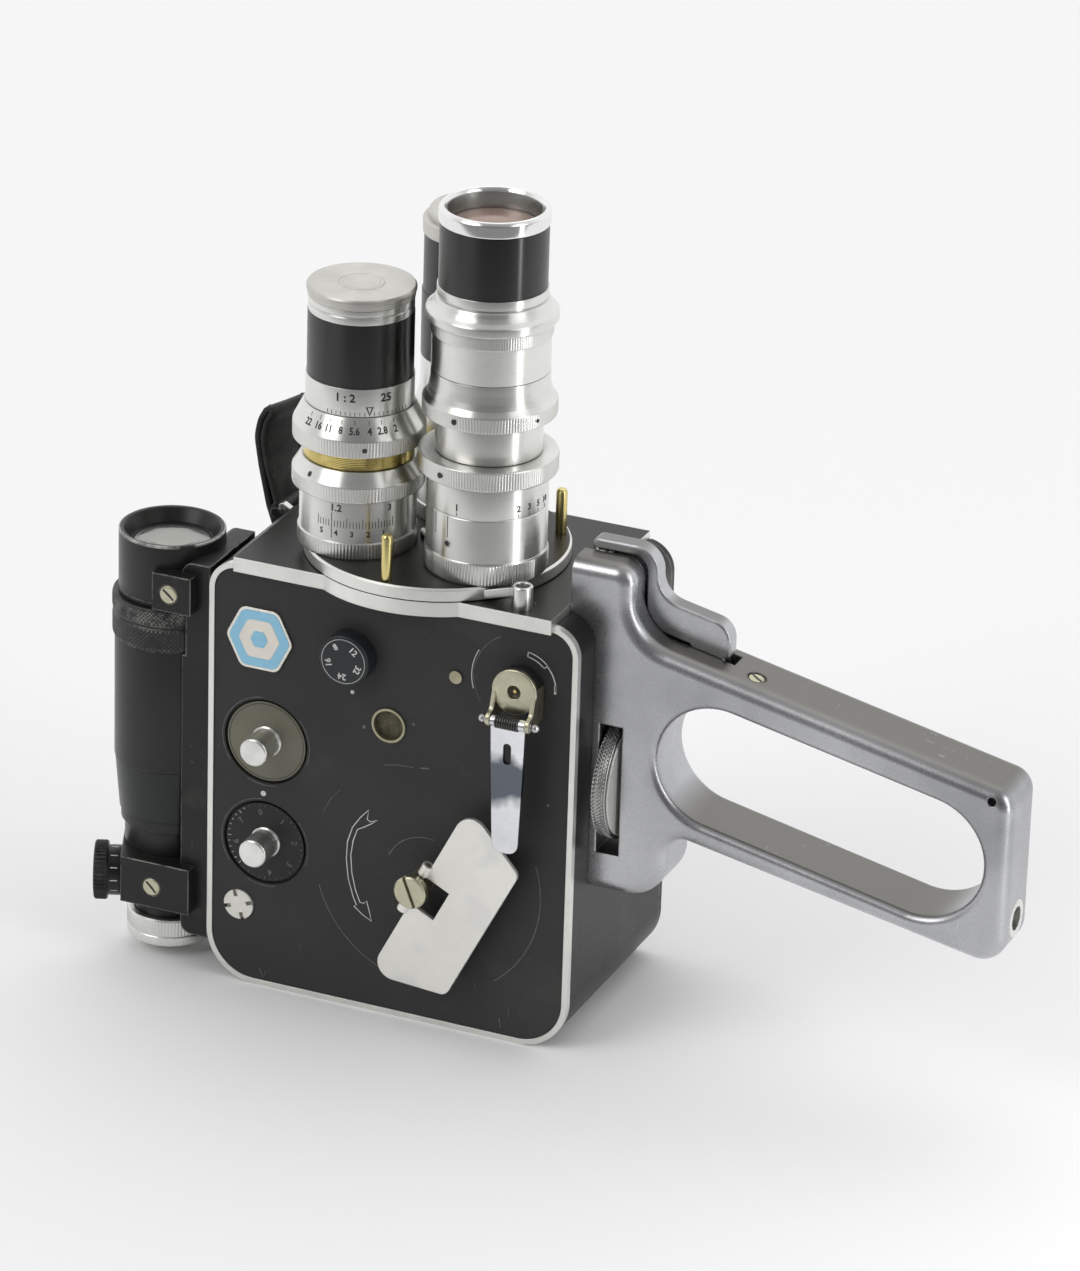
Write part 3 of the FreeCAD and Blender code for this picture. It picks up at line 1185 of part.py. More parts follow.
def centre_wheel():
    """Centre pinion with a crown wheel whose teeth point at the film door."""
    phase = meshed(0, BARREL_TEETH, PINION_TEETH, CENTRE_BEARING)
    wheel = gear(CENTRE_AT, PINION_TEETH, PINION_PITCH_R, GEAR_Y, GEAR_Y + GEAR_T, phase,
                 MODULE * 1.05)
    shaft = rod_y(CENTRE_AT, WHEEL_SHAFT_R, SIDE_T + FACE_RUN, WORKS_Y1)
    outer = CROWN_R + CROWN_FACE_W / 2
    inner = CROWN_R - CROWN_FACE_W / 2
    disc = rod_y(CENTRE_AT, outer, CROWN_ROOT_Y - CROWN_DISC_T, CROWN_ROOT_Y)
    rim = rod_y(CENTRE_AT, PINION_PITCH_R - 1.3, CROWN_ROOT_Y - 1, GEAR_Y + 1)
    wheel = wheel.fuse(shaft).fuse(disc).fuse(rim)
    teeth = []
    for k in range(CROWN_TEETH):
        profile = [V(-0.75, CROWN_ROOT_Y - 0.3, inner), V(0.75, CROWN_ROOT_Y - 0.3, inner),
                   V(0.4, CROWN_ROOT_Y + CROWN_TOOTH_H, inner),
                   V(-0.4, CROWN_ROOT_Y + CROWN_TOOTH_H, inner)]
        face = Part.Face(Part.makePolygon(profile + profile[:1]))
        tooth = face.extrude(V(0, 0, CROWN_FACE_W - 0.1))
        tooth.rotate(V(0, 0, 0), V(0, 1, 0), 360.0 * k / CROWN_TEETH)
        tooth.translate(V(CENTRE_AT[0], 0, CENTRE_AT[1]))
        teeth.append(tooth)
    return wheel.fuse(teeth).removeSplitter()


def shutter():
    """Sector disc on an upright spindle driven by the crown wheel."""
    z0 = SHUTTER_MESH_Z - SHUTTER_PINION_H / 2
    z1 = SHUTTER_MESH_Z + SHUTTER_PINION_H / 2
    corners = []
    for k in range(PINION_TEETH):
        middle = math.radians(-72 + 360.0 * k / PINION_TEETH)
        for r, width in ((SHUTTER_PINION_R - 1.3, -0.6), (SHUTTER_PINION_R + 0.8, -0.3),
                         (SHUTTER_PINION_R + 0.8, 0.3), (SHUTTER_PINION_R - 1.3, 0.6)):
            angle = middle + width / r
            corners.append((SHUTTER_AT[0] + r * math.cos(angle),
                            SHUTTER_AT[1] + r * math.sin(angle), 0))
    pinion = prism_z(corners, z0, z1)
    disc_top = PLATE_Z0 - SHUTTER_DISC_DROP
    spindle = rod_z(SHUTTER_AT, SPINDLE_R, z0 - 3, PLATE_Z0 + PLATE_T / 2 - FACE_RUN)
    disc = rod_z(SHUTTER_AT, SHUTTER_DISC_R, disc_top - SHUTTER_DISC_T, disc_top)
    reach = SHUTTER_DISC_R * 2.2
    half = math.radians(SHUTTER_OPEN / 2)
    wedge = [(SHUTTER_AT[0], SHUTTER_AT[1] + 5)]
    for a in (-half, -half / 3, half / 3, half):
        angle = math.pi / 2 + a
        wedge.append((SHUTTER_AT[0] + reach * math.cos(angle),
                      SHUTTER_AT[1] + reach * math.sin(angle)))
    disc = disc.cut(prism_z(square(wedge), disc_top - 2, disc_top + 1))
    collar = rod_z(SHUTTER_AT, 3.0, z1 - 0.5, disc_top - SHUTTER_DISC_T + 0.1)
    return pinion.fuse(spindle).fuse(disc).fuse(collar).removeSplitter()


def take_up_spool():
    """Take-up spool on its shaft with the gear that the great wheel drives."""
    phase = meshed(0, BARREL_TEETH, TAKE_UP_TEETH, TAKE_UP_BEARING)
    spool = gear(TAKE_UP_AT, TAKE_UP_TEETH, TAKE_UP_PITCH_R, GEAR_Y, GEAR_Y + GEAR_T, phase,
                 MODULE * 1.2)
    end = SPOOL_Y + SPOOL_W
    spool = spool.fuse(rod_y(TAKE_UP_AT, TAKE_UP_SHAFT_R, SIDE_T + FACE_RUN, end + 1))
    reel = turned_y([(0, SPOOL_Y), (SPOOL_FLANGE_R, SPOOL_Y),
                     (SPOOL_FLANGE_R, SPOOL_Y + SPOOL_FLANGE_T),
                     (SPOOL_CORE_R, SPOOL_Y + SPOOL_FLANGE_T),
                     (SPOOL_CORE_R, end - SPOOL_FLANGE_T),
                     (SPOOL_FLANGE_R, end - SPOOL_FLANGE_T), (SPOOL_FLANGE_R, end),
                     (0, end)], TAKE_UP_AT)
    return spool.fuse(reel).removeSplitter()


def film_gate():
    """Gate plate with the frame aperture and a sprung pressure plate under it."""
    x = LENS_C_AT[0]
    y = LENS_C_AT[1]
    z1 = CAVITY_TOP - GATE_DROP
    gate = box(x - GATE_W / 2, x + GATE_W / 2, WORKS_Y1, WORKS_Y1 + GATE_L, z1 - GATE_T, z1)
    frame = box(x - GATE_FRAME_W / 2, x + GATE_FRAME_W / 2, y - GATE_FRAME_H / 2,
                y + GATE_FRAME_H / 2, 0, z1 + 1)
    gate = gate.cut(frame)
    top = z1 - GATE_T - PRESS_GAP
    press = box(x - GATE_W / 2 + 1, x + GATE_W / 2 - 1, WORKS_Y1, WORKS_Y1 + GATE_L - 2,
                top - PRESS_T, top)
    return Part.makeCompound([gate, press])


# Pistol grip


def grip_frame():
    outline = [(BODY_W - 0.5, GRIP_LOW, 0), (BODY_W + GRIP_FOOT_W, GRIP_LOW, 11),
               (BODY_W + GRIP_FOOT_W, GRIP_ARMPIT_Z, 5), (GRIP_END, GRIP_END_LOW, 7),
               (GRIP_END, GRIP_END_TOP, 6), (GRIP_HEAD_X, GRIP_HEAD_LOW, 12),
               (GRIP_HEAD_X, GRIP_HEAD_TOP, GRIP_HEAD_CORNER_R), (GRIP_LIP_X, GRIP_HEAD_TOP, 0),
               (GRIP_LIP_X, BODY_H - FRONT_CORNER_R, 0), (BODY_W - 0.5, BODY_H - FRONT_CORNER_R, 0)]
    grip = prism_y(outline, GRIP_Y, GRIP_Y + GRIP_T)
    shoulders = [e for e in grip.Edges
                 if e.BoundBox.YLength < 1e-6 and e.BoundBox.XMax > BODY_W + 3]
    grip = grip.makeFillet(GRIP_SHOULDER_R, shoulders)
    before = [e.CenterOfMass for e in grip.Edges]
    half = OPENING_L / 2
    r = OPENING_W / 2
    hole = [(-half, -r, r), (half, -r, r), (half, r, r), (-half, r, r)]
    opening = prism_y(hole, GRIP_Y - 1, GRIP_Y + GRIP_T + 1)
    opening.rotate(V(0, 0, 0), V(0, -1, 0), OPENING_TILT)
    opening.translate(V(OPENING_AT[0], 0, OPENING_AT[1]))
    grip = grip.cut(opening)
    rims = [e for e in grip.Edges if e.BoundBox.YLength < 1e-6
            and min((e.CenterOfMass - old).Length for old in before) > 0.01]
    grip = grip.makeFillet(OPENING_EDGE_R, rims)
    body = prism_y(housing_outline(0, BODY_H), GRIP_Y - 1, GRIP_Y + GRIP_T + 1)
    grip = grip.cut(body)
    x0 = BODY_W + THUMB_SLOT_IN
    r_slot = THUMB_R + 1.7
    slot = rod_x(GRIP_MID, THUMB_Z, r_slot, x0, x0 + THUMB_SLOT_T)
    slot = slot.fuse(box(x0, x0 + THUMB_SLOT_T, GRIP_Y - 1, GRIP_Y + GRIP_T + 1,
                         THUMB_Z - r_slot, THUMB_Z + r_slot))
    grip = grip.cut(slot)
    grip = grip.cut(rod_x(GRIP_MID, THUMB_Z, THUMB_SCREW_R + RUN, BODY_W - 1, x0 + 1))
    stub_end = BODY_W + THUMB_IN + THUMB_T + THUMB_STUB_L + FACE_RUN
    grip = grip.cut(rod_x(GRIP_MID, THUMB_Z, THUMB_STUB_R + RUN, x0, stub_end))
    grip = grip.cut(trigger_room())
    grip = grip.cut(rod_y(TRIGGER_PIVOT, TRIGGER_PIN_R, GRIP_Y + 1, GRIP_Y + GRIP_T - 1))
    at = (BUTTON_X, TRIGGER_MID)
    grip = grip.cut(rod_z(at, BUTTON_R + RUN, BODY_H - 2, GRIP_HEAD_TOP + 1))
    grip = grip.cut(rod_x(GRIP_MID, TRIPOD_Z, TRIPOD_BUSH_R, GRIP_END - TRIPOD_DEPTH,
                          GRIP_END + 1))
    grip = grip.cut(on_slope(rod_y((0, 0), SCREW_R, -1, SCREW_T)))
    grip = grip.cut(rod_y(GRIP_HOLE_AT, GRIP_HOLE_R, GRIP_Y - 1, GRIP_Y + GRIP_T + 1))
    return grip.removeSplitter()


def on_slope(shape):
    """Stand a shape made at the origin, facing -Y, on the slope at the grip's screw."""
    shape.rotate(V(0, 0, 0), V(1, 0, 0), -90)
    shape.rotate(V(0, 0, 0), V(0, -1, 0), OPENING_TILT)
    shape.translate(V(GRIP_SCREW_AT[0], GRIP_SCREW_Y, GRIP_SCREW_AT[1]))
    return shape


def trigger_room():
    """Channel in the grip's head and bar in which the trigger swings."""
    gap = TRIGGER_SIDE
    y0 = TRIGGER_MID - TRIGGER_W / 2 - gap
    y1 = TRIGGER_MID + TRIGGER_W / 2 + gap
    floor = TRIGGER_PIVOT[1] - TRIGGER_BOSS_R - gap
    right = TRIGGER_NOSE_X + 1.6
    head = box(BUTTON_X - 6, GRIP_HEAD_X + 1, y0, y1, GRIP_HEAD_TOP - 4, GRIP_HEAD_TOP + 1)
    back = GRIP_HEAD_X - TRIGGER_ROOM_BACK
    above = TRIGGER_TOP + 1
    swing = prism_y(square([(back, above), (back, GRIP_HEAD_LOW - TRIGGER_ROOM_DEEP),
                            (TRIGGER_PIVOT[0] - TRIGGER_ROOM_FORE, floor), (right, floor),
                            (right, above)]), y0, y1)
    return head.fuse(swing)


def trigger():
    """Lever with a thumb pad over the head and a hooded finger rest on the bar."""
    y0 = TRIGGER_MID - TRIGGER_W / 2
    y1 = TRIGGER_MID + TRIGGER_W / 2
    under = GRIP_HEAD_TOP + AIR
    bar = GRIP_HEAD_LOW + AIR
    nose_low = bar - GRIP_SLOPE * (TRIGGER_NOSE_X - TRIGGER_WEB_X)
    corners = [(TRIGGER_HEEL_X, under, 1.0), (TRIGGER_HEEL_X, TRIGGER_TOP, 1.7),
               (TRIGGER_BACK_X, TRIGGER_TOP, 7), (TRIGGER_BACK_X, TRIGGER_HOOD_TOP, 7),
               (TRIGGER_NOSE_X, TRIGGER_HOOD_END, 5.5), (TRIGGER_NOSE_X, nose_low, 1),
               (TRIGGER_WEB_X, bar, 0.8), (TRIGGER_WEB_X, under, 4)]
    lever = prism_y(corners, y0, y1)
    rims = [e for e in lever.Edges if e.BoundBox.YLength < 1e-6]
    lever = lever.makeFillet(TRIGGER_EDGE_R, rims)
    t = TRIGGER_SHEET
    hollow = [(TRIGGER_BACK_X - 1, TRIGGER_HOOD_TOP - t - 0.6, 1.5),
              (TRIGGER_NOSE_X - t, TRIGGER_HOOD_END - t, 2.5),
              (TRIGGER_NOSE_X - t, nose_low - 2, 0), (TRIGGER_BACK_X - 1, bar - 3, 0)]
    lever = lever.cut(prism_y(hollow, y0 + t, y1 - t))
    px, pz = TRIGGER_PIVOT
    cheek = square([(px - TRIGGER_BOSS_R, pz), (px - 8, bar - GRIP_SLOPE * 10 + 2),
                    (px + 2, bar - GRIP_SLOPE * 20 + 1), (px + TRIGGER_BOSS_R, pz)])
    for c0, c1 in ((y0, y0 + t), (y1 - t, y1)):
        lever = lever.fuse(prism_y(cheek, c0, c1))
        lever = lever.fuse(rod_y(TRIGGER_PIVOT, TRIGGER_BOSS_R, c0, c1))
    return lever.cut(rod_y(TRIGGER_PIVOT, TRIGGER_PIN_R + RUN, y0 - 1, y1 + 1)).removeSplitter()


def release_button():
    return turned([(0, BUTTON_LOW), (BUTTON_R, BUTTON_LOW), (BUTTON_R, GRIP_HEAD_TOP - 0.4),
                   (BUTTON_R - 0.4, GRIP_HEAD_TOP), (0, GRIP_HEAD_TOP)],
                  (BUTTON_X, TRIGGER_MID))


def thumbwheel():
    x0 = BODY_W + THUMB_IN
    x1 = x0 + THUMB_T
    wheel = rod_x(GRIP_MID, THUMB_Z, THUMB_R, x0, x1)
    screw = rod_x(GRIP_MID, THUMB_Z, THUMB_SCREW_R, BODY_W - BUSH_L, x0 + 0.1)
    stub = rod_x(GRIP_MID, THUMB_Z, THUMB_STUB_R, x1 - 0.1, x1 + THUMB_STUB_L)
    return wheel.fuse(screw).fuse(stub).removeSplitter()


def tripod_insert():
    x0 = GRIP_END - TRIPOD_DEPTH
    bush = rod_x(GRIP_MID, TRIPOD_Z, TRIPOD_BUSH_R, x0, GRIP_END)
    return bush.cut(rod_x(GRIP_MID, TRIPOD_Z, TRIPOD_BORE_R, x0 + 1, GRIP_END + 1))


# Viewfinder


def finder_base():
    base = box(-FINDER_BASE_T, 0, FINDER_BASE_Y, FINDER_BASE_Y + FINDER_BASE_W,
               FINDER_BASE_LOW, FINDER_BASE_TOP)
    rounds = [e for e in base.Edges if e.BoundBox.YLength > 5 and e.BoundBox.XMax < -1]
    base = base.makeFillet(3.0, rounds)
    for r, z0, z1 in ((TUBE_R, TAPER_LOW, TUBE_TOP), (ZOOM_R + AIR, TUBE_TOP - AIR, ZOOM_TOP + AIR),
                      (HEAD_R, ZOOM_TOP, HEAD_TOP), (COLLAR_R, EYE_TUBE_LOW, TAPER_LOW),
                      (EYEPIECE_R + AIR, 0, EYE_TUBE_LOW)):
        base = base.cut(rod_z(FINDER_AT, r + RUN, z0, z1))
    return base.removeSplitter()


def finder_tube():
    r0 = EYE_BORE_R
    mouth = HEAD_TOP - HEAD_MOUTH_DEPTH
    seat = mouth - FRONT_GLASS_EDGE
    profile = [(r0, EYE_NECK_LOW), (EYE_NECK_R, EYE_NECK_LOW), (EYE_NECK_R, EYE_TUBE_LOW),
               (EYE_TUBE_R, EYE_TUBE_LOW), (EYE_TUBE_R, COLLAR_LOW), (COLLAR_R, COLLAR_LOW),
               (COLLAR_R, TAPER_LOW), (TAPER_R, TAPER_LOW), (TUBE_R, TUBE_LOW),
               (TUBE_R, TUBE_TOP - FACE_RUN), (ZOOM_NECK_R, TUBE_TOP - FACE_RUN),
               (ZOOM_NECK_R, ZOOM_TOP + FACE_RUN), (HEAD_R, ZOOM_TOP + FACE_RUN),
               (HEAD_R, HEAD_TOP), (HEAD_MOUTH_R, HEAD_TOP), (FRONT_GLASS_R, mouth),
               (FRONT_GLASS_R, seat), (TUBE_BORE_R, seat), (TUBE_BORE_R, TUBE_LOW), (r0, COLLAR_LOW)]
    return turned(profile, FINDER_AT)


def finder_front_lens():
    edge = HEAD_TOP - HEAD_MOUTH_DEPTH
    seat = edge - FRONT_GLASS_EDGE
    return turned([(0, seat), (FRONT_GLASS_R, seat), (FRONT_GLASS_R, edge),
                   (FRONT_GLASS_R * 0.6, edge + FRONT_GLASS_DOME * 0.8),
                   (0, edge + FRONT_GLASS_DOME)], FINDER_AT)


def finder_zoom_ring():
    bore = ZOOM_NECK_R + RUN
    return turned([(bore, TUBE_TOP), (ZOOM_R - 0.5, TUBE_TOP), (ZOOM_R, TUBE_TOP + 0.5),
                   (ZOOM_R, ZOOM_TOP - 0.5), (ZOOM_R - 0.5, ZOOM_TOP), (bore, ZOOM_TOP)],
                  FINDER_AT)


def finder_eyepiece():
    """Eyepiece ring with a sunk cup, screwed on the neck of the tube."""
    bore = EYE_NECK_R + RUN
    floor = EYE_NECK_LOW - FACE_RUN
    return turned([(EYECUP_R - 3, EYEPIECE_LOW + 0.6), (EYECUP_R, EYEPIECE_LOW),
                   (EYEPIECE_R - 0.5, EYEPIECE_LOW), (EYEPIECE_R, EYEPIECE_LOW + 0.5),
                   (EYEPIECE_R, EYEPIECE_TOP), (bore, EYEPIECE_TOP), (bore, floor),
                   (EYECUP_R - 3, floor)], FINDER_AT)


def clamp_face(along):
    """Point (X, Y) on the slanted outer face of the rear clamp."""
    turn = math.radians(PARALLAX_TURN)
    return (REAR_CLAMP_X - along * math.sin(turn), CLAMP_Y + along * math.cos(turn))


def finder_clamps():
    """Rear and front saddle lugs that hold the finder tube on its base."""
    deep = FINDER_AT[1] + CLAMP_BACK
    slant = clamp_face(REAR_CLAMP_DEEP)
    rear = prism_z(square([(CLAMP_END, CLAMP_Y), (CLAMP_END, slant[1]), slant,
                           (REAR_CLAMP_X, CLAMP_Y)]), REAR_CLAMP_LOW, REAR_CLAMP_TOP)
    front = box(FRONT_CLAMP_X, CLAMP_END, CLAMP_Y, deep, FRONT_CLAMP_LOW, FRONT_CLAMP_TOP)
    rear = rear.cut(rod_z(FINDER_AT, EYE_TUBE_R + RUN, 0, HEAD_TOP))
    front = front.cut(rod_z(FINDER_AT, HEAD_R + RUN, 0, HEAD_TOP))
    base_room = box(-FINDER_BASE_T, 0, FINDER_BASE_Y, BODY_D, 0, HEAD_TOP)
    rear = rear.cut(base_room)
    front = front.cut(base_room)
    rear = rear.cut(rod_y(REAR_SCREW_AT, SCREW_R, CLAMP_Y - 1, CLAMP_Y + SCREW_T))
    front = front.cut(rod_y(FRONT_SCREW_AT, SCREW_R, CLAMP_Y - 1, CLAMP_Y + SCREW_T))
    pieces = []
    for lug in (rear, front):
        pieces.append(max(lug.Solids, key=lambda s: s.Volume))
    return Part.makeCompound(pieces)


def screw(at, y_face, angle):
    head = rod_y(at, SCREW_R, y_face - 0.2, y_face + SCREW_T)
    slot = box(-SCREW_R - 1, SCREW_R + 1, y_face - 1, y_face + 0.4,
               -SCREW_SLOT_W / 2, SCREW_SLOT_W / 2)
    slot.rotate(V(0, 0, 0), V(0, -1, 0), angle)
    slot.translate(V(at[0], 0, at[1]))
    return head.cut(slot)


def slotted_screws():
    return Part.makeCompound([screw(REAR_SCREW_AT, CLAMP_Y, -45),
                              screw(FRONT_SCREW_AT, CLAMP_Y, -40),
                              on_slope(screw((0, 0), 0, -30))])


def parallax_knob():
    """Knurled disc on a marked hub that turns on the rear clamp's slanted face."""
    x, y = clamp_face(PARALLAX_ALONG)
    start = FACE_RUN
    end = start + PARALLAX_HUB_L
    knob = turned([(0, start), (PARALLAX_HUB_R, start), (PARALLAX_HUB_R, end),
                   (PARALLAX_R - 0.6, end), (PARALLAX_R, end + 0.8),
                   (PARALLAX_R, end + PARALLAX_T - 0.8), (PARALLAX_R - 0.8, end + PARALLAX_T),
                   (0, end + PARALLAX_T)], (0, 0))
    knob.rotate(V(0, 0, 0), V(0, -1, 0), 90)
    knob.rotate(V(0, 0, 0), V(0, 0, 1), PARALLAX_TURN)
    knob.translate(V(x, y, PARALLAX_Z))
    return knob


# Strap


def strap_lugs():
    lugs = []
    for x, z in ((-FRONT_LUG_OUT, FRONT_LUG_Z), (-REAR_LUG_OUT, REAR_LUG_Z)):
        half = STRAP_W / 2 + AIR
        bar = Part.makeCylinder(LUG_BAR_R, 2 * (half + LUG_EAR_T),
                                V(x, STRAP_Y - half - LUG_EAR_T, z), V(0, 1, 0))
        for y in (STRAP_Y - half - LUG_EAR_T, STRAP_Y + half):
            ear = box(x, 0, y, y + LUG_EAR_T, z - LUG_EAR_H / 2, z + LUG_EAR_H / 2)
            eye = rod_y((x, z), LUG_EAR_H / 2, y, y + LUG_EAR_T)
            bar = bar.fuse(ear).fuse(eye)
        room = box(0, 10, 0, BODY_D, z - 10, z + 10)
        lugs.append(bar.cut(room).removeSplitter())
    return Part.makeCompound(lugs)


def band(path, thick, y0, y1):
    """Strip of even thickness along a path of (X, Z, bend radius) points."""
    half = thick / 2
    sides = []
    for sign in (1, -1):
        row = []
        for i, (x, z, r) in enumerate(path):
            here = V(x, z, 0)
            back = here - V(path[i - 1][0], path[i - 1][1], 0) if i > 0 else None
            on = V(path[i + 1][0], path[i + 1][1], 0) - here if i + 1 < len(path) else None
            first = (back or on).normalize()
            last = (on or back).normalize()
            n0 = V(-first.y, first.x, 0)
            n1 = V(-last.y, last.x, 0)
            mitre = (n0 + n1).normalize()
            shift = mitre * (sign * half / mitre.dot(n0))
            left_turn = first.cross(last).z > 0
            bend = r - sign * half if left_turn else r + sign * half
            row.append((x + shift.x, z + shift.y, bend if r else 0))
        sides.append(row)
    corners = sides[0] + sides[1][::-1]
    return prism_y(corners, y0, y1)


def strap():
    y0 = STRAP_Y - STRAP_W / 2
    y1 = STRAP_Y + STRAP_W / 2
    leather = band(STRAP_PATH, STRAP_T, y0, y1)
    ends = (((-FRONT_LUG_OUT, FRONT_LUG_Z), FRONT_EYE_R), ((-REAR_LUG_OUT, REAR_LUG_Z), REAR_EYE_R))
    for at, r in ends:
        leather = leather.fuse(rod_y(at, r, y0, y1))
    for at, r in ends:
        leather = leather.cut(rod_y(at, LUG_BAR_R + RUN * 4, y0 - 1, y1 + 1))
    return leather.removeSplitter()


PARTS = {
    "body_shell": body_shell,
    "side_trim": side_trim,
    "side_plate": side_plate,
    "works_plate": works_plate,
    "film_door": film_door,
    "door_latch": door_latch,
    "hinge_pins": hinge_pins,
    "badge_plate": badge_plate,
    "brass_fittings": brass_fittings,
    "slotted_nut": slotted_nut,
    "front_plate": front_plate,
    "turret_pivot": turret_pivot,
    "release_socket": release_socket,
    "turret_catch": turret_catch,
    "turret_disc": turret_disc,
    "turret_pins": turret_pins,
    "lens_a_barrel": lens_a_barrel,
    "lens_a_focus_ring": lens_a_focus_ring,
    "lens_a_helicoid": lens_a_helicoid,
    "lens_a_iris_ring": lens_a_iris_ring,
    "lens_a_head": lens_a_head,
    "lens_a_cap": lens_a_cap,
    "lens_b_barrel": lens_b_barrel,
    "lens_b_focus_ring": lens_b_focus_ring,
    "lens_b_iris_ring": lens_b_iris_ring,
    "lens_b_head": lens_b_head,
    "lens_c_barrel": lens_c_barrel,
    "lens_c_focus_ring": lens_c_focus_ring,
    "lens_c_head": lens_c_head,
    "lens_c_cap": lens_c_cap,
    "lens_elements": lens_elements,
    "speed_dial": speed_dial,
    "counter_dial": lambda: dial_disc(COUNTER_AT),
    "counter_knob": lambda: dial_knob(COUNTER_AT),
    "frame_dial": lambda: dial_disc(FRAME_DIAL_AT),
    "frame_knob": lambda: dial_knob(FRAME_DIAL_AT),
    "crank_hub": crank_hub,
    "crank_arm": crank_arm,
    "winding_arbor": winding_arbor,
    "winding_key": winding_key,
    "spring_barrel": spring_barrel,
    "centre_wheel": centre_wheel,
    "shutter": shutter,
    "take_up_spool": take_up_spool,
    "film_gate": film_gate,
    "grip_frame": grip_frame,
    "trigger": trigger,
    "release_button": release_button,
    "thumbwheel": thumbwheel,
    "tripod_insert": tripod_insert,
    "finder_base": finder_base,
    "finder_tube": finder_tube,
    "finder_front_lens": finder_front_lens,
    "finder_zoom_ring": finder_zoom_ring,
    "finder_eyepiece": finder_eyepiece,
    "finder_clamps": finder_clamps,
    "slotted_screws": slotted_screws,
    "parallax_knob": parallax_knob,
    "strap_lugs": strap_lugs,
    "strap": strap,
}

os.makedirs("parts", exist_ok=True)
for name, make in PARTS.items():
    shape = make()
    shape.translate(V(-BODY_W / 2, -BODY_D / 2, 0))
    print(name, len(shape.Solids), round(shape.Volume, 1), shape.isValid())
    shape.exportStep("parts/" + name + ".step")
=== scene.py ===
import math

import bmesh
import bpy
from mathutils import Matrix, Vector


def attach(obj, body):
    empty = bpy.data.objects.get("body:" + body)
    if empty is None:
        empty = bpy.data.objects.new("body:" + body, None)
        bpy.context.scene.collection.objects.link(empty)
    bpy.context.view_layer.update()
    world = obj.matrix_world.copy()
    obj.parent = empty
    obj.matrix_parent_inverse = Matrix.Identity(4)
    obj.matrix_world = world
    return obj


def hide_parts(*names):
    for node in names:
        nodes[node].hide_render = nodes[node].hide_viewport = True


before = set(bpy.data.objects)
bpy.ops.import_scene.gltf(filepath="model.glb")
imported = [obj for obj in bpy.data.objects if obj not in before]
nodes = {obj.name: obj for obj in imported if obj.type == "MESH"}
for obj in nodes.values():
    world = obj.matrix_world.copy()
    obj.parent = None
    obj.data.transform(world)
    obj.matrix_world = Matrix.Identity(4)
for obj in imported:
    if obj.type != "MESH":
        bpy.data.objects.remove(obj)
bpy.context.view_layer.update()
scene = bpy.context.scene
scene.view_settings.view_transform = "Standard"

# Lengths below are millimetres: X from the top face towards the grip, Y from the side plate
# towards the film door, Z up from the rear face. place() turns them into the scene's metres.
MM = 0.001
HALF_W = 51.8
HALF_D = 32.5

# Axes: the turret's and lenses' (x, y), and the side plate's (x, z)
TURRET = (51.8, 28.0)
LENS_A = (33.70, 17.55)
LENS_B = (69.90, 17.55)
LENS_C = (51.80, 48.90)
FINDER = (-17.1, 13.0)
RELEASE = (86.2, 3.8)
RELEASE_BORE = (86.3, 5.8)
KEY = (62.8, 42.0)
CRANK = (88.5, 102.4)
SPEED = (40.6, 100.9)
COUNTER = (16.6, 71.0)
FRAMES = (16.6, 41.9)
EYELET = (51.5, 83.1)
BADGE = (14.6, 100.0)
WHEEL = (20.75, 72.4)

# Turret and lenses: the face they sit on, the bores of turning rings and of the glass seats
TURRET_PINS_R = 31.9
SEAT = 125.7
TUBE_R = 12.0
RING_BORE = 12.05
GLASS_R = 8.0
HOOD_BORE = 11.35

# Side plate: the panel's face, the dials' faces and the speed dial's face
PANEL_Y = 0.3
DIAL_Y = 0.5
SPEED_Y = -4.9
MARK_RISE = 0.05

# Crank hub: its pin below the axis and in front of the plate
HUB_PIN_DROP = 7.4
HUB_PIN_Y = -8.05

# Strap: its middle, half width and half thickness, and its two lugs' (x, z)
STRAP_MID = 53.3
STRAP_HALF_W = 6.0
STRAP_HALF_T = 0.8
FRONT_LUG = (-3.0, 114.5)
REAR_LUG = (-5.0, 14.0)

# Photograph's viewing direction in degrees, camera place in metres, and light
VIEW_AZ = 22.8
CAMERA_TURN = (22.771, 24.134, -1.772)
CAMERA_AT = (0.6189, -1.4089, 0.7858)
CAMERA_LENS = 183.37
# Floor colour darkens towards the viewing side between these distances in metres: painted shade.
FLOOR_SHADE_START = 0.25
FLOOR_SHADE_FULL = 0.36
STRIP_OUT = 0.43
STRIP_UP = 0.152


def place(x, y, z):
    return ((x - HALF_W) * MM, (y - HALF_D) * MM, z * MM)


def polar(centre, r, degrees):
    turn = math.radians(degrees)
    return (centre[0] + r * math.cos(turn), centre[1] + r * math.sin(turn))


# Materials


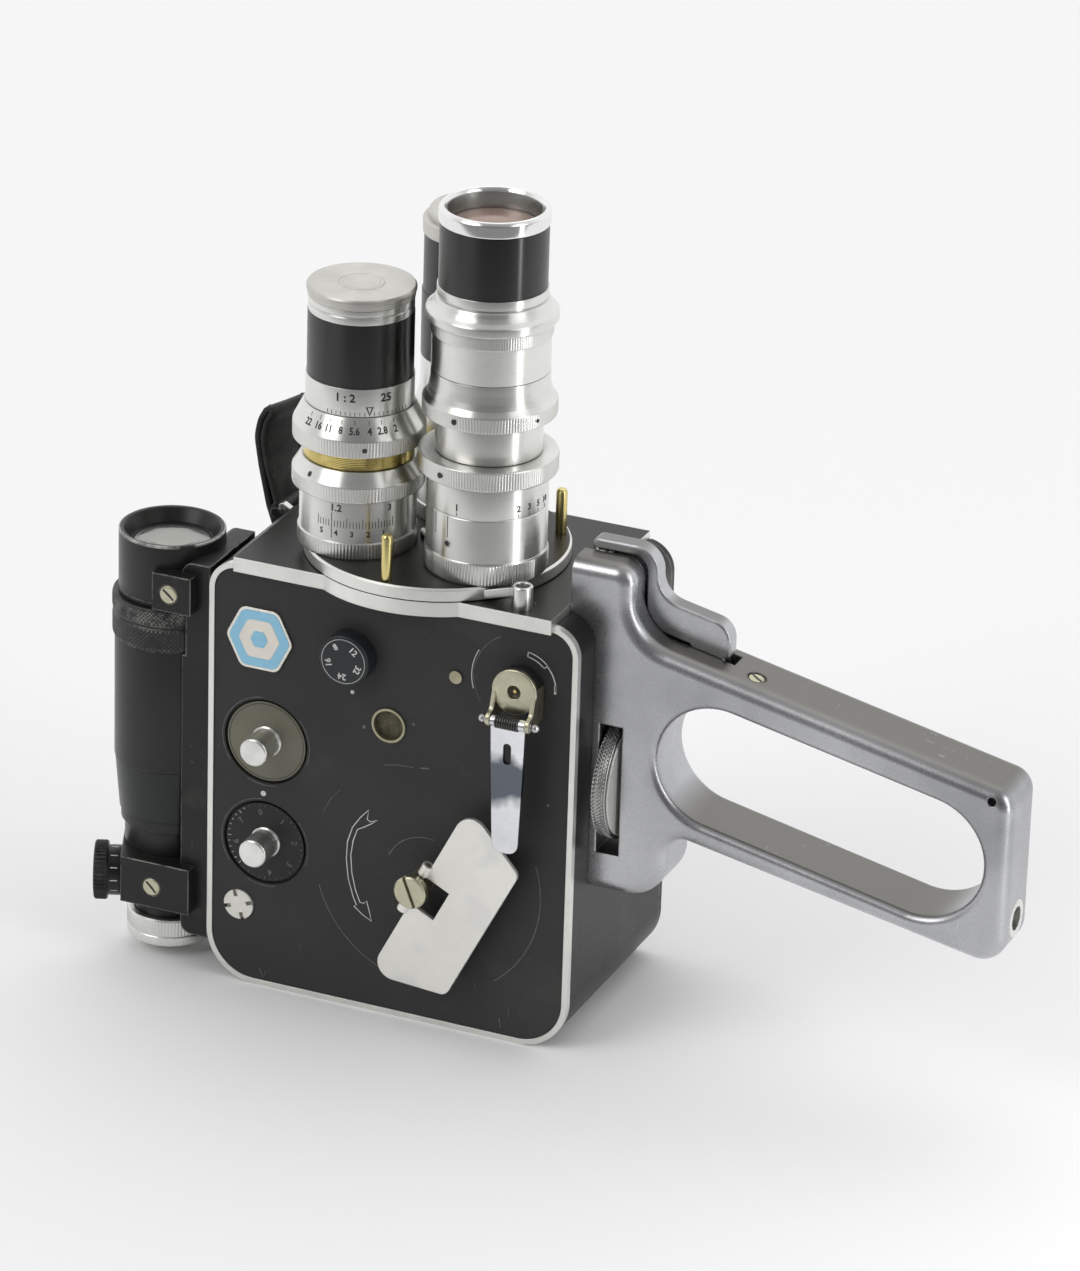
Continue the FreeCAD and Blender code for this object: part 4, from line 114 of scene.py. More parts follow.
class Nodes:
    """Short names for the nodes of one tree."""

    def __init__(self, tree):
        self.tree = tree

    def node(self, kind, **props):
        made = self.tree.nodes.new(kind)
        for key, value in props.items():
            setattr(made, key, value)
        return made

    def feed(self, socket, value):
        if isinstance(value, bpy.types.NodeSocket):
            self.tree.links.new(value, socket)
        elif isinstance(value, tuple) and len(value) == 3 and socket.type == "RGBA":
            socket.default_value = (*value, 1.0)
        else:
            socket.default_value = value

    def span(self, value, low, high, to_low=0.0, to_high=1.0):
        made = self.node("ShaderNodeMapRange", clamp=True)
        for key, item in (("Value", value), ("From Min", low), ("From Max", high),
                          ("To Min", to_low), ("To Max", to_high)):
            self.feed(made.inputs[key], item)
        return made.outputs[0]

    def calc(self, operation, a, b=0.0):
        made = self.node("ShaderNodeMath", operation=operation)
        self.feed(made.inputs[0], a)
        self.feed(made.inputs[1], b)
        return made.outputs[0]

    def dot(self, a, b):
        made = self.node("ShaderNodeVectorMath", operation="DOT_PRODUCT")
        self.feed(made.inputs[0], a)
        self.feed(made.inputs[1], b)
        return made.outputs["Value"]

    def blend(self, share, a, b):
        made = self.node("ShaderNodeMix", data_type="RGBA")
        self.feed(made.inputs["Factor"], share)
        self.feed(made.inputs[6], a)
        self.feed(made.inputs[7], b)
        return made.outputs[2]

    def between(self, share, a, b):
        made = self.node("ShaderNodeMix", data_type="FLOAT")
        self.feed(made.inputs["Factor"], share)
        self.feed(made.inputs[2], a)
        self.feed(made.inputs[3], b)
        return made.outputs[0]

    def toned(self, value, colour):
        made = self.node("ShaderNodeHueSaturation")
        self.feed(made.inputs["Value"], value)
        self.feed(made.inputs["Color"], colour)
        return made.outputs[0]


class Shade(Nodes):
    """A Principled material, with noise on the object's own coordinates."""

    def __init__(self, name):
        self.material = bpy.data.materials.new(name)
        self.material.use_nodes = True
        super().__init__(self.material.node_tree)
        self.bsdf = self.tree.nodes["Principled BSDF"]
        self.coords = self.node("ShaderNodeTexCoord").outputs["Object"]

    def noise(self, scale, detail=3.0, stretch=(1, 1, 1), rough=0.55, tilt=(0, 0, 0)):
        mapping = self.node("ShaderNodeMapping")
        mapping.inputs["Rotation"].default_value = [math.radians(v) for v in tilt]
        mapping.inputs["Scale"].default_value = stretch
        self.feed(mapping.inputs["Vector"], self.coords)
        made = self.node("ShaderNodeTexNoise")
        self.feed(made.inputs["Vector"], mapping.outputs[0])
        made.inputs["Scale"].default_value = scale
        made.inputs["Detail"].default_value = detail
        made.inputs["Roughness"].default_value = rough
        return made.outputs["Fac"]

    def put(self, **values):
        for key, item in values.items():
            self.feed(self.bsdf.inputs[key.replace("_", " ")], item)


def surface(name, colour, rough, metal=0.0, tone=(90.0, 0.12), grain=(900.0, 0.08, 0.1),
            turned=None, edge=0.25, wear=None, grime=0.0, reach=1.6, scratch=None, top=None,
            second=None, band=None, **plain):
    """Procedural finish: colour tone, grain in roughness and bump, rounded and worn edges,
    painted shade in corners from ambient occlusion (also standing for grime), a dark band at a
    height that is a painted reflection, fine scratches, and another finish on faces that look up,
    which is real paint on some pieces and painted shade on others."""
    s = Shade(name)
    shown = s.toned(s.span(s.noise(tone[0], 4.0), 0.25, 0.75, 1 - tone[1], 1 + tone[1]), colour)
    if second:
        share = s.span(s.noise(second[1], 3.0), second[2], second[2] + 0.12)
        shown = s.blend(share, shown, second[0])
    # A dark colour between two heights: a painted reflection, used on the crank arm.
    if band:
        height = s.node("ShaderNodeSeparateXYZ")
        s.feed(height.inputs[0], s.coords)
        level = s.calc("ADD", height.outputs[2], s.span(s.noise(90.0), 0.3, 0.7, -0.003, 0.003))
        share = s.calc("MULTIPLY", s.span(level, band[0] - 0.002, band[0] + 0.002),
                       s.span(level, band[1] + 0.002, band[1] - 0.001))
        shown = s.blend(share, shown, band[2])
    stretch = (1, 1, 1)
    if turned:
        stretch = tuple(14 if axis == turned[0] else 0.06 for axis in "XYZ")
        tangent = s.node("ShaderNodeTangent", direction_type="RADIAL", axis=turned[0])
        s.put(Tangent=tangent.outputs[0], Anisotropic=turned[1], Anisotropic_Rotation=0.25)
    fine = s.noise(grain[0], 4.0, stretch)
    roughness = s.span(fine, 0.2, 0.8, rough - grain[2], rough + grain[2])
    metallic = metal
    rounded = s.node("ShaderNodeBevel", samples=4)
    rounded.inputs["Radius"].default_value = edge * MM
    # Faces that look up get another finish: real black paint on the front plate's top, painted
    # shade on the grip's and the trigger's tops.
    if top:
        normal = s.node("ShaderNodeSeparateXYZ")
        s.feed(normal.inputs[0], s.tree.nodes["Texture Coordinate"].outputs["Normal"])
        facing = s.span(normal.outputs[2], *(top[3:] or (0.85, 0.9)))
        shown = s.blend(facing, shown, top[0])
        roughness = s.between(facing, roughness, top[1])
        metallic = s.between(facing, metallic, top[2])
    if wear:
        true_normal = s.node("ShaderNodeNewGeometry").outputs["Normal"]
        bend_share = s.span(s.dot(rounded.outputs[0], true_normal), 0.995, 0.9)
        patchy = s.span(s.noise(wear[3], 5.0, rough=0.7), wear[4], wear[4] + 0.12)
        share = s.calc("MULTIPLY", bend_share, patchy)
        shown = s.blend(share, shown, wear[0])
        roughness = s.between(share, roughness, wear[1])
        metallic = s.between(share, metallic, wear[2])
    if scratch:
        lines = s.noise(scratch[0], 2.0, (1.0, 1.0, 0.12), tilt=(0, 35, 0))
        other = s.noise(scratch[0], 2.0, (0.1, 1.0, 1.0), tilt=(0, 20, 0))
        specks = s.noise(scratch[0] * 1.7, 1.0)
        where = s.noise(40.0, 3.0)
        mark = s.calc("MAXIMUM", s.span(lines, 0.73, 0.77), s.span(other, 0.74, 0.78))
        mark = s.calc("MAXIMUM", mark, s.span(specks, 0.74, 0.78))
        mark = s.calc("MULTIPLY", mark, s.span(where, 0.45, 0.62, 0.0, scratch[1]))
        shown = s.blend(mark, shown, scratch[2])
    # Ambient occlusion darkens the colour in corners and hollows: painted shade, standing also
    # for grime there.
    if grime:
        corner = s.node("ShaderNodeAmbientOcclusion", samples=4)
        corner.inputs["Distance"].default_value = reach * MM
        shown = s.toned(s.span(corner.outputs["AO"], 0.3, 0.95, 1 - grime, 1.0), shown)
    bump = s.node("ShaderNodeBump")
    bump.inputs["Strength"].default_value = grain[1]
    bump.inputs["Distance"].default_value = 0.2 * MM
    s.feed(bump.inputs["Height"], fine)
    s.feed(bump.inputs["Normal"], rounded.outputs[0])
    s.put(Base_Color=shown, Roughness=roughness, Metallic=metallic, Normal=bump.outputs[0],
          **plain)
    return s.material


# Finishes by name, each listed with a CAD material slot name that is not used; marks and fillings
# have none
M = {}


def finish(name, slot, *look_of, **more):
    M[name] = surface(name, *look_of, **more)


finish("enamel", "black_enamel", (0.014, 0.0138, 0.0138), 0.36, tone=(60, 0.25),
       grain=(1500, 0.12, 0.08), edge=0.6, Specular_IOR_Level=0.32,
       second=((0.026, 0.025, 0.023), 90, 0.58), wear=((0.30, 0.29, 0.26), 0.4, 0.7, 260, 0.36),
       scratch=(600, 0.8, (0.15, 0.145, 0.135)))
finish("panel", "panel_black", (0.036, 0.0352, 0.036), 0.5, tone=(35, 0.12),
       grain=(2500, 0.05, 0.06), scratch=(1000, 0.5, (0.16, 0.16, 0.155)),
       second=((0.050, 0.048, 0.046), 28, 0.60), Specular_IOR_Level=0.28)
finish("aluminium", "bright_aluminium", (0.80, 0.80, 0.77), 0.3, 1.0, tone=(120, 0.07),
       grain=(500, 0.05, 0.09), turned=("Y", 0.7), grime=0.3)
finish("post", "bright_aluminium", (0.80, 0.80, 0.77), 0.3, 1.0, tone=(120, 0.07),
       grain=(500, 0.05, 0.09), turned=("Z", 0.6), grime=0.3)
finish("trim", "bright_aluminium", (0.82, 0.82, 0.78), 0.34, 0.85, tone=(150, 0.06),
       grain=(300, 0.015, 0.05), grime=0.15, wear=((0.45, 0.44, 0.42), 0.5, 1.0, 300, 0.6))
finish("lens_silver", "lens_aluminium", (0.77, 0.77, 0.74), 0.30, 1.0, tone=(70, 0.06),
       grain=(420, 0.018, 0.04), turned=("Z", 0.8), grime=0.35, edge=0.12)
finish("chrome", "lens_aluminium", (0.86, 0.86, 0.85), 0.14, 1.0, tone=(80, 0.04),
       grain=(600, 0.02, 0.05), edge=0.15, turned=("Z", 0.5))
finish("cap", "lens_aluminium", (0.60, 0.59, 0.55), 0.4, 0.9, tone=(110, 0.12),
       grain=(700, 0.1, 0.1), grime=0.3, turned=("Z", 0.5), scratch=(900, 0.4, (0.8, 0.8, 0.78)))
finish("hood", "lens_black", (0.0065, 0.006, 0.006), 0.31, tone=(50, 0.2),
       grain=(300, 0.004, 0.03), turned=("Z", 1.0), edge=0.2, Specular_IOR_Level=0.72)
# The grip's darker top faces are painted shade, together with the worn brownish tint of its top.
finish("cast", "cast_aluminium", (0.50, 0.505, 0.52), 0.29, 0.95, tone=(16, 0.28),
       grain=(1300, 0.03, 0.05), grime=0.2, edge=0.6,
       top=((0.19, 0.185, 0.17), 0.34, 0.95, 0.6, 0.96), second=((0.33, 0.335, 0.35), 22, 0.50),
       scratch=(500, 0.5, (0.62, 0.62, 0.63)))
finish("steel", "steel", (0.58, 0.58, 0.57), 0.3, 1.0, tone=(90, 0.1), grain=(700, 0.06, 0.1),
       grime=0.35, edge=0.25)
finish("wheel", "steel", (0.50, 0.50, 0.49), 0.32, 1.0, tone=(90, 0.08), grain=(700, 0.02, 0.06),
       grime=0.6, edge=0.05)
finish("wheel_face", "steel", (0.60, 0.60, 0.57), 0.4, 0.35, tone=(90, 0.08))
# The trigger's darker top faces are painted shade.
finish("trigger", "steel", (0.52, 0.525, 0.54), 0.30, 1.0, tone=(30, 0.2),
       grain=(900, 0.03, 0.06), grime=0.2, edge=0.8,
       top=((0.24, 0.24, 0.235), 0.32, 1.0, 0.75, 0.97))
finish("nickel", "nickel", (0.87, 0.86, 0.81), 0.38, 0.75, tone=(45, 0.05),
       grain=(700, 0.05, 0.08), edge=0.35, grime=0.2, second=((0.81, 0.805, 0.78), 70, 0.55),
       scratch=(900, 0.35, (0.55, 0.55, 0.52)))
# The arm's dark bluish band is a painted reflection on its shiny steel.
finish("arm", "steel", (0.76, 0.77, 0.79), 0.18, 1.0, tone=(110, 0.12), grain=(500, 0.08, 0.08),
       edge=0.3, band=(0.0735, 0.0835, (0.13, 0.145, 0.17)))
finish("brass", "brass", (0.74, 0.60, 0.22), 0.15, 1.0, tone=(140, 0.15), grain=(700, 0.02, 0.05),
       turned=("Z", 0.4), grime=0.4, edge=0.2)
finish("pale_brass", "brass", (0.56, 0.54, 0.40), 0.34, 1.0, tone=(140, 0.12),
       grain=(800, 0.08, 0.1), grime=0.4, edge=0.25, second=((0.42, 0.39, 0.27), 160, 0.6))
finish("pin_brass", "brass", (0.70, 0.60, 0.26), 0.2, 1.0, tone=(140, 0.12),
       grain=(600, 0.04, 0.08), edge=0.2, turned=("Z", 0.5))
finish("eyelet", "brass", (0.42, 0.39, 0.27), 0.42, 0.9, tone=(260, 0.2), grime=0.5)
finish("olive", "dial_olive", (0.17, 0.165, 0.125), 0.45, 0.4, tone=(70, 0.1),
       grain=(1200, 0.06, 0.06), grime=0.3, scratch=(900, 0.35, (0.33, 0.32, 0.27)))
finish("dial", "dial_black", (0.022, 0.023, 0.024), 0.48, 0.1, tone=(80, 0.15),
       grain=(1500, 0.05, 0.06), grime=0.3, Specular_IOR_Level=0.35)
finish("dial_face", "dial_grey", (0.02, 0.024, 0.028), 0.3, 0.1, tone=(80, 0.15),
       grain=(1500, 0.04, 0.05), Specular_IOR_Level=0.4)
finish("mark", None, (0.62, 0.62, 0.60), 0.55, tone=(300, 0.2), edge=0.02)
finish("faint", None, (0.115, 0.115, 0.112), 0.5, tone=(500, 0.5), edge=0.02)
# Black print on the lenses and trim, also the screws' slots, whose black strips are painted
# shade.
finish("ink", None, (0.03, 0.03, 0.032), 0.55, tone=(300, 0.2), edge=0.02)
finish("white_nut", "white_nut", (0.78, 0.77, 0.71), 0.45, 0.1, tone=(200, 0.1), grime=0.4)
finish("rim_badge", "badge_enamel", (0.75, 0.73, 0.66), 0.25, 1.0, tone=(200, 0.1))
finish("blue", "badge_enamel", (0.27, 0.60, 0.82), 0.16, tone=(200, 0.05), Coat_Weight=0.6)
finish("cream", "badge_enamel", (0.86, 0.82, 0.73), 0.18, tone=(200, 0.06), Coat_Weight=0.6)
finish("black_metal", "black_enamel", (0.015, 0.015, 0.0155), 0.34, tone=(70, 0.2),
       grain=(900, 0.06, 0.08), edge=0.3, turned=("Z", 0.3), Specular_IOR_Level=0.4,
       wear=((0.42, 0.41, 0.38), 0.4, 0.9, 240, 0.44))
finish("tube_grey", "black_enamel", (0.014, 0.017, 0.018), 0.34, tone=(70, 0.2),
       grain=(900, 0.06, 0.08), edge=0.3, turned=("Z", 0.4), Specular_IOR_Level=0.4)
finish("black_knob", "panel_black", (0.012, 0.012, 0.012), 0.36, tone=(70, 0.2),
       grain=(900, 0.06, 0.08), edge=0.15, Specular_IOR_Level=0.4,
       wear=((0.36, 0.35, 0.32), 0.4, 0.9, 300, 0.5))
finish("matt_black", "lens_black", (0.005, 0.005, 0.005), 0.7, tone=(200, 0.2),
       Specular_IOR_Level=0.2)
finish("leather", "strap_leather", (0.022, 0.021, 0.020), 0.5, tone=(120, 0.35),
       grain=(1500, 0.4, 0.1), grime=0.3, Sheen_Weight=0.1,
       second=((0.034, 0.033, 0.031), 150, 0.52), Specular_IOR_Level=0.4,
       wear=((0.09, 0.085, 0.075), 0.6, 0.0, 300, 0.45))
finish("thread", "strap_leather", (0.05, 0.045, 0.04), 0.8, tone=(800, 0.3))
finish("plate", "bright_aluminium", (0.82, 0.82, 0.78), 0.32, 0.9, tone=(110, 0.06),
       grain=(300, 0.015, 0.06), grime=0.2, edge=0.35, top=((0.016, 0.0155, 0.014), 0.36, 0.0),
       wear=((0.72, 0.72, 0.68), 0.35, 1.0, 200, 0.2), Specular_IOR_Level=0.35)
finish("frosted", None, (0.42, 0.41, 0.33), 0.35, tone=(60, 0.12))
finish("inner_ring", "lens_aluminium", (0.40, 0.40, 0.38), 0.35, 1.0, tone=(60, 0.1))
finish("coating", None, (0.34, 0.23, 0.19), 0.15, 0.3, tone=(60, 0.15))
finish("worn", "black_enamel", (0.03, 0.03, 0.028), 0.34, 0.5, tone=(70, 0.2),
       second=((0.50, 0.49, 0.46), 110, 0.36), grain=(900, 0.06, 0.08))
# Dark brass for the insides of the hub's socket and the eyelet's cup: painted shade in these
# hollows.
finish("pit_shade", "brass", (0.085, 0.078, 0.045), 0.5, 0.3, tone=(700, 0.5), grime=0.6)
# Dark steel of the crank's coil; on the ring of the grip screw's sink it is painted shade.
finish("dark_steel_and_shade", "steel", (0.10, 0.10, 0.095), 0.35, 1.0, tone=(200, 0.2), grime=0.7)


def glass(name, colour, film):
    """Clear glass with a little haze and a thin film of the given thickness in nanometres."""
    s = Shade(name)
    s.put(Base_Color=s.blend(s.noise(90), colour, (0.97, 0.96, 0.96)),
          Roughness=s.span(s.noise(180, 3.0), 0.3, 0.8, 0.015, 0.05),
          Transmission_Weight=1.0, IOR=1.52, Thin_Film_Thickness=film, Thin_Film_IOR=1.38,
          Coat_Weight=0.5)
    M[name] = s.material


glass("glass", (0.93, 0.86, 0.88), 330.0)
glass("field_glass", (0.90, 0.91, 0.86), 0.0)


# Meshes


def add(name, points, faces, material, body, replaces=(), crease=32.0):
    mesh = bpy.data.meshes.new(name)
    mesh.from_pydata([place(*p) for p in points], [], faces)
    work = bmesh.new()
    work.from_mesh(mesh)
    bmesh.ops.remove_doubles(work, verts=work.verts, dist=2e-7)
    bmesh.ops.recalc_face_normals(work, faces=work.faces)
    work.to_mesh(mesh)
    work.free()
    mesh.shade_smooth()
    mesh.set_sharp_from_angle(angle=math.radians(crease))
    made = bpy.data.objects.new(name, mesh)
    scene.collection.objects.link(made)
    mesh.materials.append(M[material])
    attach(made, body)
    if replaces:
        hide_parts(*replaces)
    return made


def upright(at):
    return lambda x, y, h: (at[0] + x, at[1] + y, h)


def sideways(at):
    return lambda x, y, h: (at[0] + x, h, at[1] + y)


def crosswise(at):
    return lambda x, y, h: (h, at[0] + x, at[1] + y)


def skin(ring, rows, closed=False):
    """Faces between rows of ring points each, with end faces unless the rows close."""
    faces = []
    for i in range(rows if closed else rows - 1):
        a, b = i * ring, (i + 1) % rows * ring
        faces += [(a + k, a + (k + 1) % ring, b + (k + 1) % ring, b + k) for k in range(ring)]
    if not closed:
        faces += [tuple(range(ring)), tuple(range(rows * ring - 1, (rows - 1) * ring - 1, -1))]
    return faces


def soften(profile, radius):
    """Rounds the corners of a closed (radius, height) profile. A point with a third value,
    its share of the knurl's depth, stays as it is."""
    made = []
    count = len(profile)
    for i, point in enumerate(profile):
        if len(point) == 3 or point[0] < 0.01 or radius <= 0:
            made.append(point)
            continue
        here = Vector(point[:2])
        a = Vector(profile[i - 1][:2]) - here
        b = Vector(profile[(i + 1) % count][:2]) - here
        reach = min(radius, a.length * 0.42, b.length * 0.42)
        if reach < 0.02 or a.angle(b) > 3.05:
            made.append(point)
            continue
        start = here + a.normalized() * reach
        stop = here + b.normalized() * reach
        for t in (0.0, 0.33, 0.67, 1.0):
            q = start * (1 - t) ** 2 + here * (2 * t * (1 - t)) + stop * t * t
            made.append((q.x, q.y))
    return made


def saw(value):
    """0 on a ridge, 1 in a groove, with period 1."""
    part = value % 1.0
    return 2 * part if part < 0.5 else 2 - 2 * part


def lathe(name, profile, where, material, body="camera", replaces=(), edge=0.25, seg=96,
          ridges=0, depth=0.2, lean=0.0, crease=32.0):
    """Turned piece. Ridges are cut where the profile's points carry a third value, straight,
    or crossed when lean, the ridges' travel for each turn of the pattern, is set."""
    rows = soften(profile, edge)
    if ridges:
        seg = ridges * 4
    points = []
    for row in rows:
        r, h = row[0], row[1]
        cut = row[2] * depth if len(row) == 3 else 0.0
        for k in range(seg):
            turn = 2 * math.pi * k / seg
            off = 0.0
            if cut:
                at = k * ridges / seg
                off = cut * (max(saw(at + h / lean), saw(at - h / lean)) if lean else saw(at))
            points.append(where((r - off) * math.cos(turn), (r - off) * math.sin(turn), h))
    return add(name, points, skin(seg, len(rows), True), material, body, replaces, crease)


def knurl(r, low, high, depth, chamfer=0.35, step=None):
    """Profile points of a knurled band with chamfered ends."""
    rows = [(r - depth, low), (r - depth * 0.2, low + chamfer, 1.0)]
    if step:
        h = low + chamfer + step
        while h < high - chamfer - step / 2:
            rows.append((r, h, 1.0))
            h += step
    return rows + [(r - depth * 0.2, high - chamfer, 1.0), (r - depth, high)]


def prism(name, outline, low, high, where, material, body="camera", replaces=(), bevel=0.0):
    """Straight solid on a closed outline, with bevelled edges."""
    points = [where(a, b, level) for level in (low, high) for a, b in outline]
    made = add(name, points, skin(len(outline), 2), material, body, replaces)
    if bevel:
        soft = made.modifiers.new("edges", "BEVEL")
        soft.width = bevel * MM
        soft.segments = 3
        soft.limit_method = "ANGLE"
        soft.angle_limit = math.radians(40)
        soft.harden_normals = True


def fillet(before, here, after, r, steps=8, step=None):
    """Points of the arc of radius r in the corner at here, by count or by their distance."""
    back = (Vector(before) - here).normalized()
    on = (Vector(after) - here).normalized()
    half = back.angle(on) / 2
    middle = here + (back + on).normalized() * (r / math.sin(half))
    first = here + back * (r / math.tan(half)) - middle
    last = here + on * (r / math.tan(half)) - middle
    sweep = first.angle_signed(last)
    if step:
        steps = max(2, int(abs(sweep) * r / step))
    made = []
    for k in range(steps + 1):
        arm = first.copy()
        arm.rotate(Matrix.Rotation(-sweep * k / steps, 2))
        made.append(middle + arm)
    return made


def rounded_outline(corners):
    """Outline through (a, b, radius) corners."""
    made = []
    for i, (a, b, r) in enumerate(corners):
        after = corners[(i + 1) % len(corners)][:2]
        made += fillet(corners[i - 1][:2], Vector((a, b)), after, r) if r > 0 else [(a, b)]
    return [tuple(p) for p in made]


# Marks: thin solids laid on a surface, gathered into one piece for each body and colour


marks = {}


def on_panel(y=PANEL_Y):
    return lambda u, v, w: (u, y - w, v)


def on_ring(at, r, r2=None, z1=0.0, z2=1.0):
    """Round a lens: u along the arc from the viewing direction, v a height, on a cylinder
    of radius r or on a cone from r at z1 to r2 at z2."""
    def where(u, v, w):
        wall = r if r2 is None else r + (r2 - r) * (v - z1) / (z2 - z1)
        turn = math.radians(VIEW_AZ) + u / r
        return (at[0] + (wall + w) * math.sin(turn), at[1] - (wall + w) * math.cos(turn), v)
    return where


def arc(centre, r, start, stop, steps=24):
    return [polar(centre, r, start + (stop - start) * k / steps) for k in range(steps + 1)]


class Pen:
    """Draws marks of one colour on one surface that rides on a body."""

    def __init__(self, where, body, colour):
        self.where = where
        self.body = body
        self.colour = colour

    def keep(self, points, faces):
        held = marks.setdefault((self.body, self.colour), ([], []))
        start = len(held[0])
        held[0].extend(points)
        held[1].extend(tuple(start + k for k in face) for face in faces)

    def disc(self, u, v, r, rise=MARK_RISE, steps=20):
        rim = [polar((u, v), r, 360 * k / steps) for k in range(steps)]
        points = [self.where(a, b, w) for w in (-MARK_RISE, rise) for a, b in rim]
        self.keep(points, skin(steps, 2))

    def line(self, path, width, closed=False, rise=MARK_RISE):
        """Strip of even width along a path of (u, v) points."""
        count = len(path)
        points = []
        for i, (u, v) in enumerate(path):
            here = Vector((u, v))
            back = Vector(path[i - 1]) if i or closed else here
            on = Vector(path[(i + 1) % count]) if i + 1 < count or closed else here
            way = (on - back).normalized()
            side = Vector((-way.y, way.x)) * width / 2
            for sign, w in ((1, -MARK_RISE), (-1, -MARK_RISE), (-1, rise), (1, rise)):
                q = here + side * sign
                points.append(self.where(q.x, q.y, w))
        self.keep(points, skin(4, count, closed))

    def write(self, text, u, v, size, turn=0.0):
        """Plain figures, each as tall as size."""
        curve = bpy.data.curves.new("figures", "FONT")
        curve.body = text
        curve.size = size * 1.4
        curve.align_x = "CENTER"
        curve.align_y = "CENTER"
        curve.offset = size * 0.035
        curve.resolution_u = 2
        curve.extrude = 0.5
        held = bpy.data.objects.new("figures", curve)
        scene.collection.objects.link(held)
        bpy.context.view_layer.update()
        mesh = bpy.data.meshes.new_from_object(held)
        c, s = polar((0, 0), 1, turn)
        points = [self.where(u + p.co.x * c - p.co.y * s, v + p.co.x * s + p.co.y * c,
                             MARK_RISE if p.co.z > 0 else -MARK_RISE) for p in mesh.vertices]
        self.keep(points, [tuple(f.vertices) for f in mesh.polygons])
        bpy.data.objects.remove(held)
        bpy.data.curves.remove(curve)
        bpy.data.meshes.remove(mesh)


# Camera, floor and light


def look():
    data = bpy.data.cameras.new("camera")
    data.lens = CAMERA_LENS
    data.sensor_width = 36.0
    data.clip_start = 0.05
    data.clip_end = 50.0
    held = bpy.data.objects.new("camera", data)
    scene.collection.objects.link(held)
    a, e, r = (math.radians(v) for v in CAMERA_TURN)
    ahead = Vector((-math.sin(a) * math.cos(e), math.cos(a) * math.cos(e), -math.sin(e)))
    level = Vector((math.cos(a), math.sin(a), 0.0))
    upward = level.cross(ahead)
    right = level * math.cos(r) - upward * math.sin(r)
    up = level * math.sin(r) + upward * math.cos(r)
    turn = Matrix((right, up, -ahead)).transposed().to_4x4()
    held.matrix_world = Matrix.Translation(CAMERA_AT) @ turn
    scene.camera = held


def lamp(name, kind, azimuth, height, power):
    """Lamp that looks at the object from an azimuth, counted clockwise from -Y, and a height
    in degrees. Also gives the direction towards it."""
    data = bpy.data.lights.new(name, kind)
    data.energy = power
    held = bpy.data.objects.new(name, data)
    scene.collection.objects.link(held)
    a, e = math.radians(azimuth), math.radians(height)
    away = Vector((math.sin(a) * math.cos(e), -math.cos(a) * math.cos(e), math.sin(e)))
    held.rotation_euler = away.to_track_quat("Z", "Y").to_euler()
    return data, held, away


def sun(name, azimuth, height, power, angle, colour=(1, 1, 1)):
    data = lamp(name, "SUN", VIEW_AZ + azimuth, height, power)[0]
    data.angle = math.radians(angle)
    data.color = colour


def strip_light():
    """Narrow upright lamp low on the right, whose image stands in the black hood."""
    data, held, away = lamp("strip", "AREA", VIEW_AZ + 55, 0, 0.27)
    data.shape = "RECTANGLE"
    data.size, data.size_y = 0.03, 0.30
    held.location = away * STRIP_OUT + Vector((0.0, 0.0, STRIP_UP))


def studio():
    """Pale floor and walls that darken towards the side the object is seen from: the floor by its
    colour, which is painted shade, and the walls by the world's light.
    """
    a = math.radians(VIEW_AZ)
    front = (math.sin(a), -math.cos(a), 0.0)
    mesh = bpy.data.meshes.new("floor")
    mesh.from_pydata([(-4, -4, 0), (4, -4, 0), (4, 4, 0), (-4, 4, 0)], [], [(0, 1, 2, 3)])
    floor = bpy.data.objects.new("floor", mesh)
    scene.collection.objects.link(floor)
    s = Shade("floor")
    # The floor's colour darkens in front of the object: painted shade, which the metal reflects
    # as dark.
    near = s.span(s.dot(s.coords, front), FLOOR_SHADE_START, FLOOR_SHADE_FULL)
    near = s.calc("MULTIPLY", near, s.span(s.noise(2.0, 2.0), 0.3, 0.7, 0.97, 1.0))
    s.put(Base_Color=s.blend(near, (0.95, 0.95, 0.955), (0.24, 0.24, 0.245)), Roughness=0.8,
          Specular_IOR_Level=0.1)
    mesh.materials.append(s.material)
    scene.world = bpy.data.worlds.new("studio")
    scene.world.use_nodes = True
    sky = Nodes(scene.world.node_tree)
    sky.tree.nodes.clear()
    where = sky.node("ShaderNodeTexCoord").outputs["Generated"]
    ramp = sky.node("ShaderNodeValToRGB")
    sky.feed(ramp.inputs["Fac"], sky.span(sky.dot(where, front), -1.0, 1.0))
    stops = ramp.color_ramp.elements
    stops[0].position, stops[0].color = 0.0, (1.0, 1.0, 1.005, 1)
    stops[1].position, stops[1].color = 1.0, (0.15, 0.15, 0.155, 1)
    for at, tone in ((0.35, 0.97), (0.6, 0.66), (0.8, 0.29)):
        stop = stops.new(at)
        stop.color = (tone, tone, tone * 1.005, 1)
    shown = sky.node("ShaderNodeBackground")
    sky.feed(shown.inputs["Color"], ramp.outputs["Color"])
    sky.feed(sky.node("ShaderNodeOutputWorld").inputs["Surface"], shown.outputs[0])
    sun("left", -56, 38, 0.72, 34, (1.0, 0.995, 0.98))
    sun("right", 56, 32, 0.28, 34)
    strip_light()
    sun("above", 170, 62, 0.26, 50)


# Lenses


def turner(at):
    """Lathe for one lens, whose pieces are silver and fixed to the turret unless said."""
    def turn(name, profile, edge=0.15, replaces=(), material="lens_silver", body="turret",
             **knurled):
        lathe(name, profile, upright(at), material, body, replaces, edge, **knurled)
    return turn


def barrel_foot(top, end):
    """Barrel of a short lens, up to its shoulder at top and its inner tube's end."""
    return [(TUBE_R, SEAT), (15.3, SEAT)] + knurl(15.6, 125.9, 130.1, 0.22) + [
        (15.1, 130.2), (15.1, top), (TUBE_R, top), (TUBE_R, end), (GLASS_R, end),
        (GLASS_R, SEAT)]


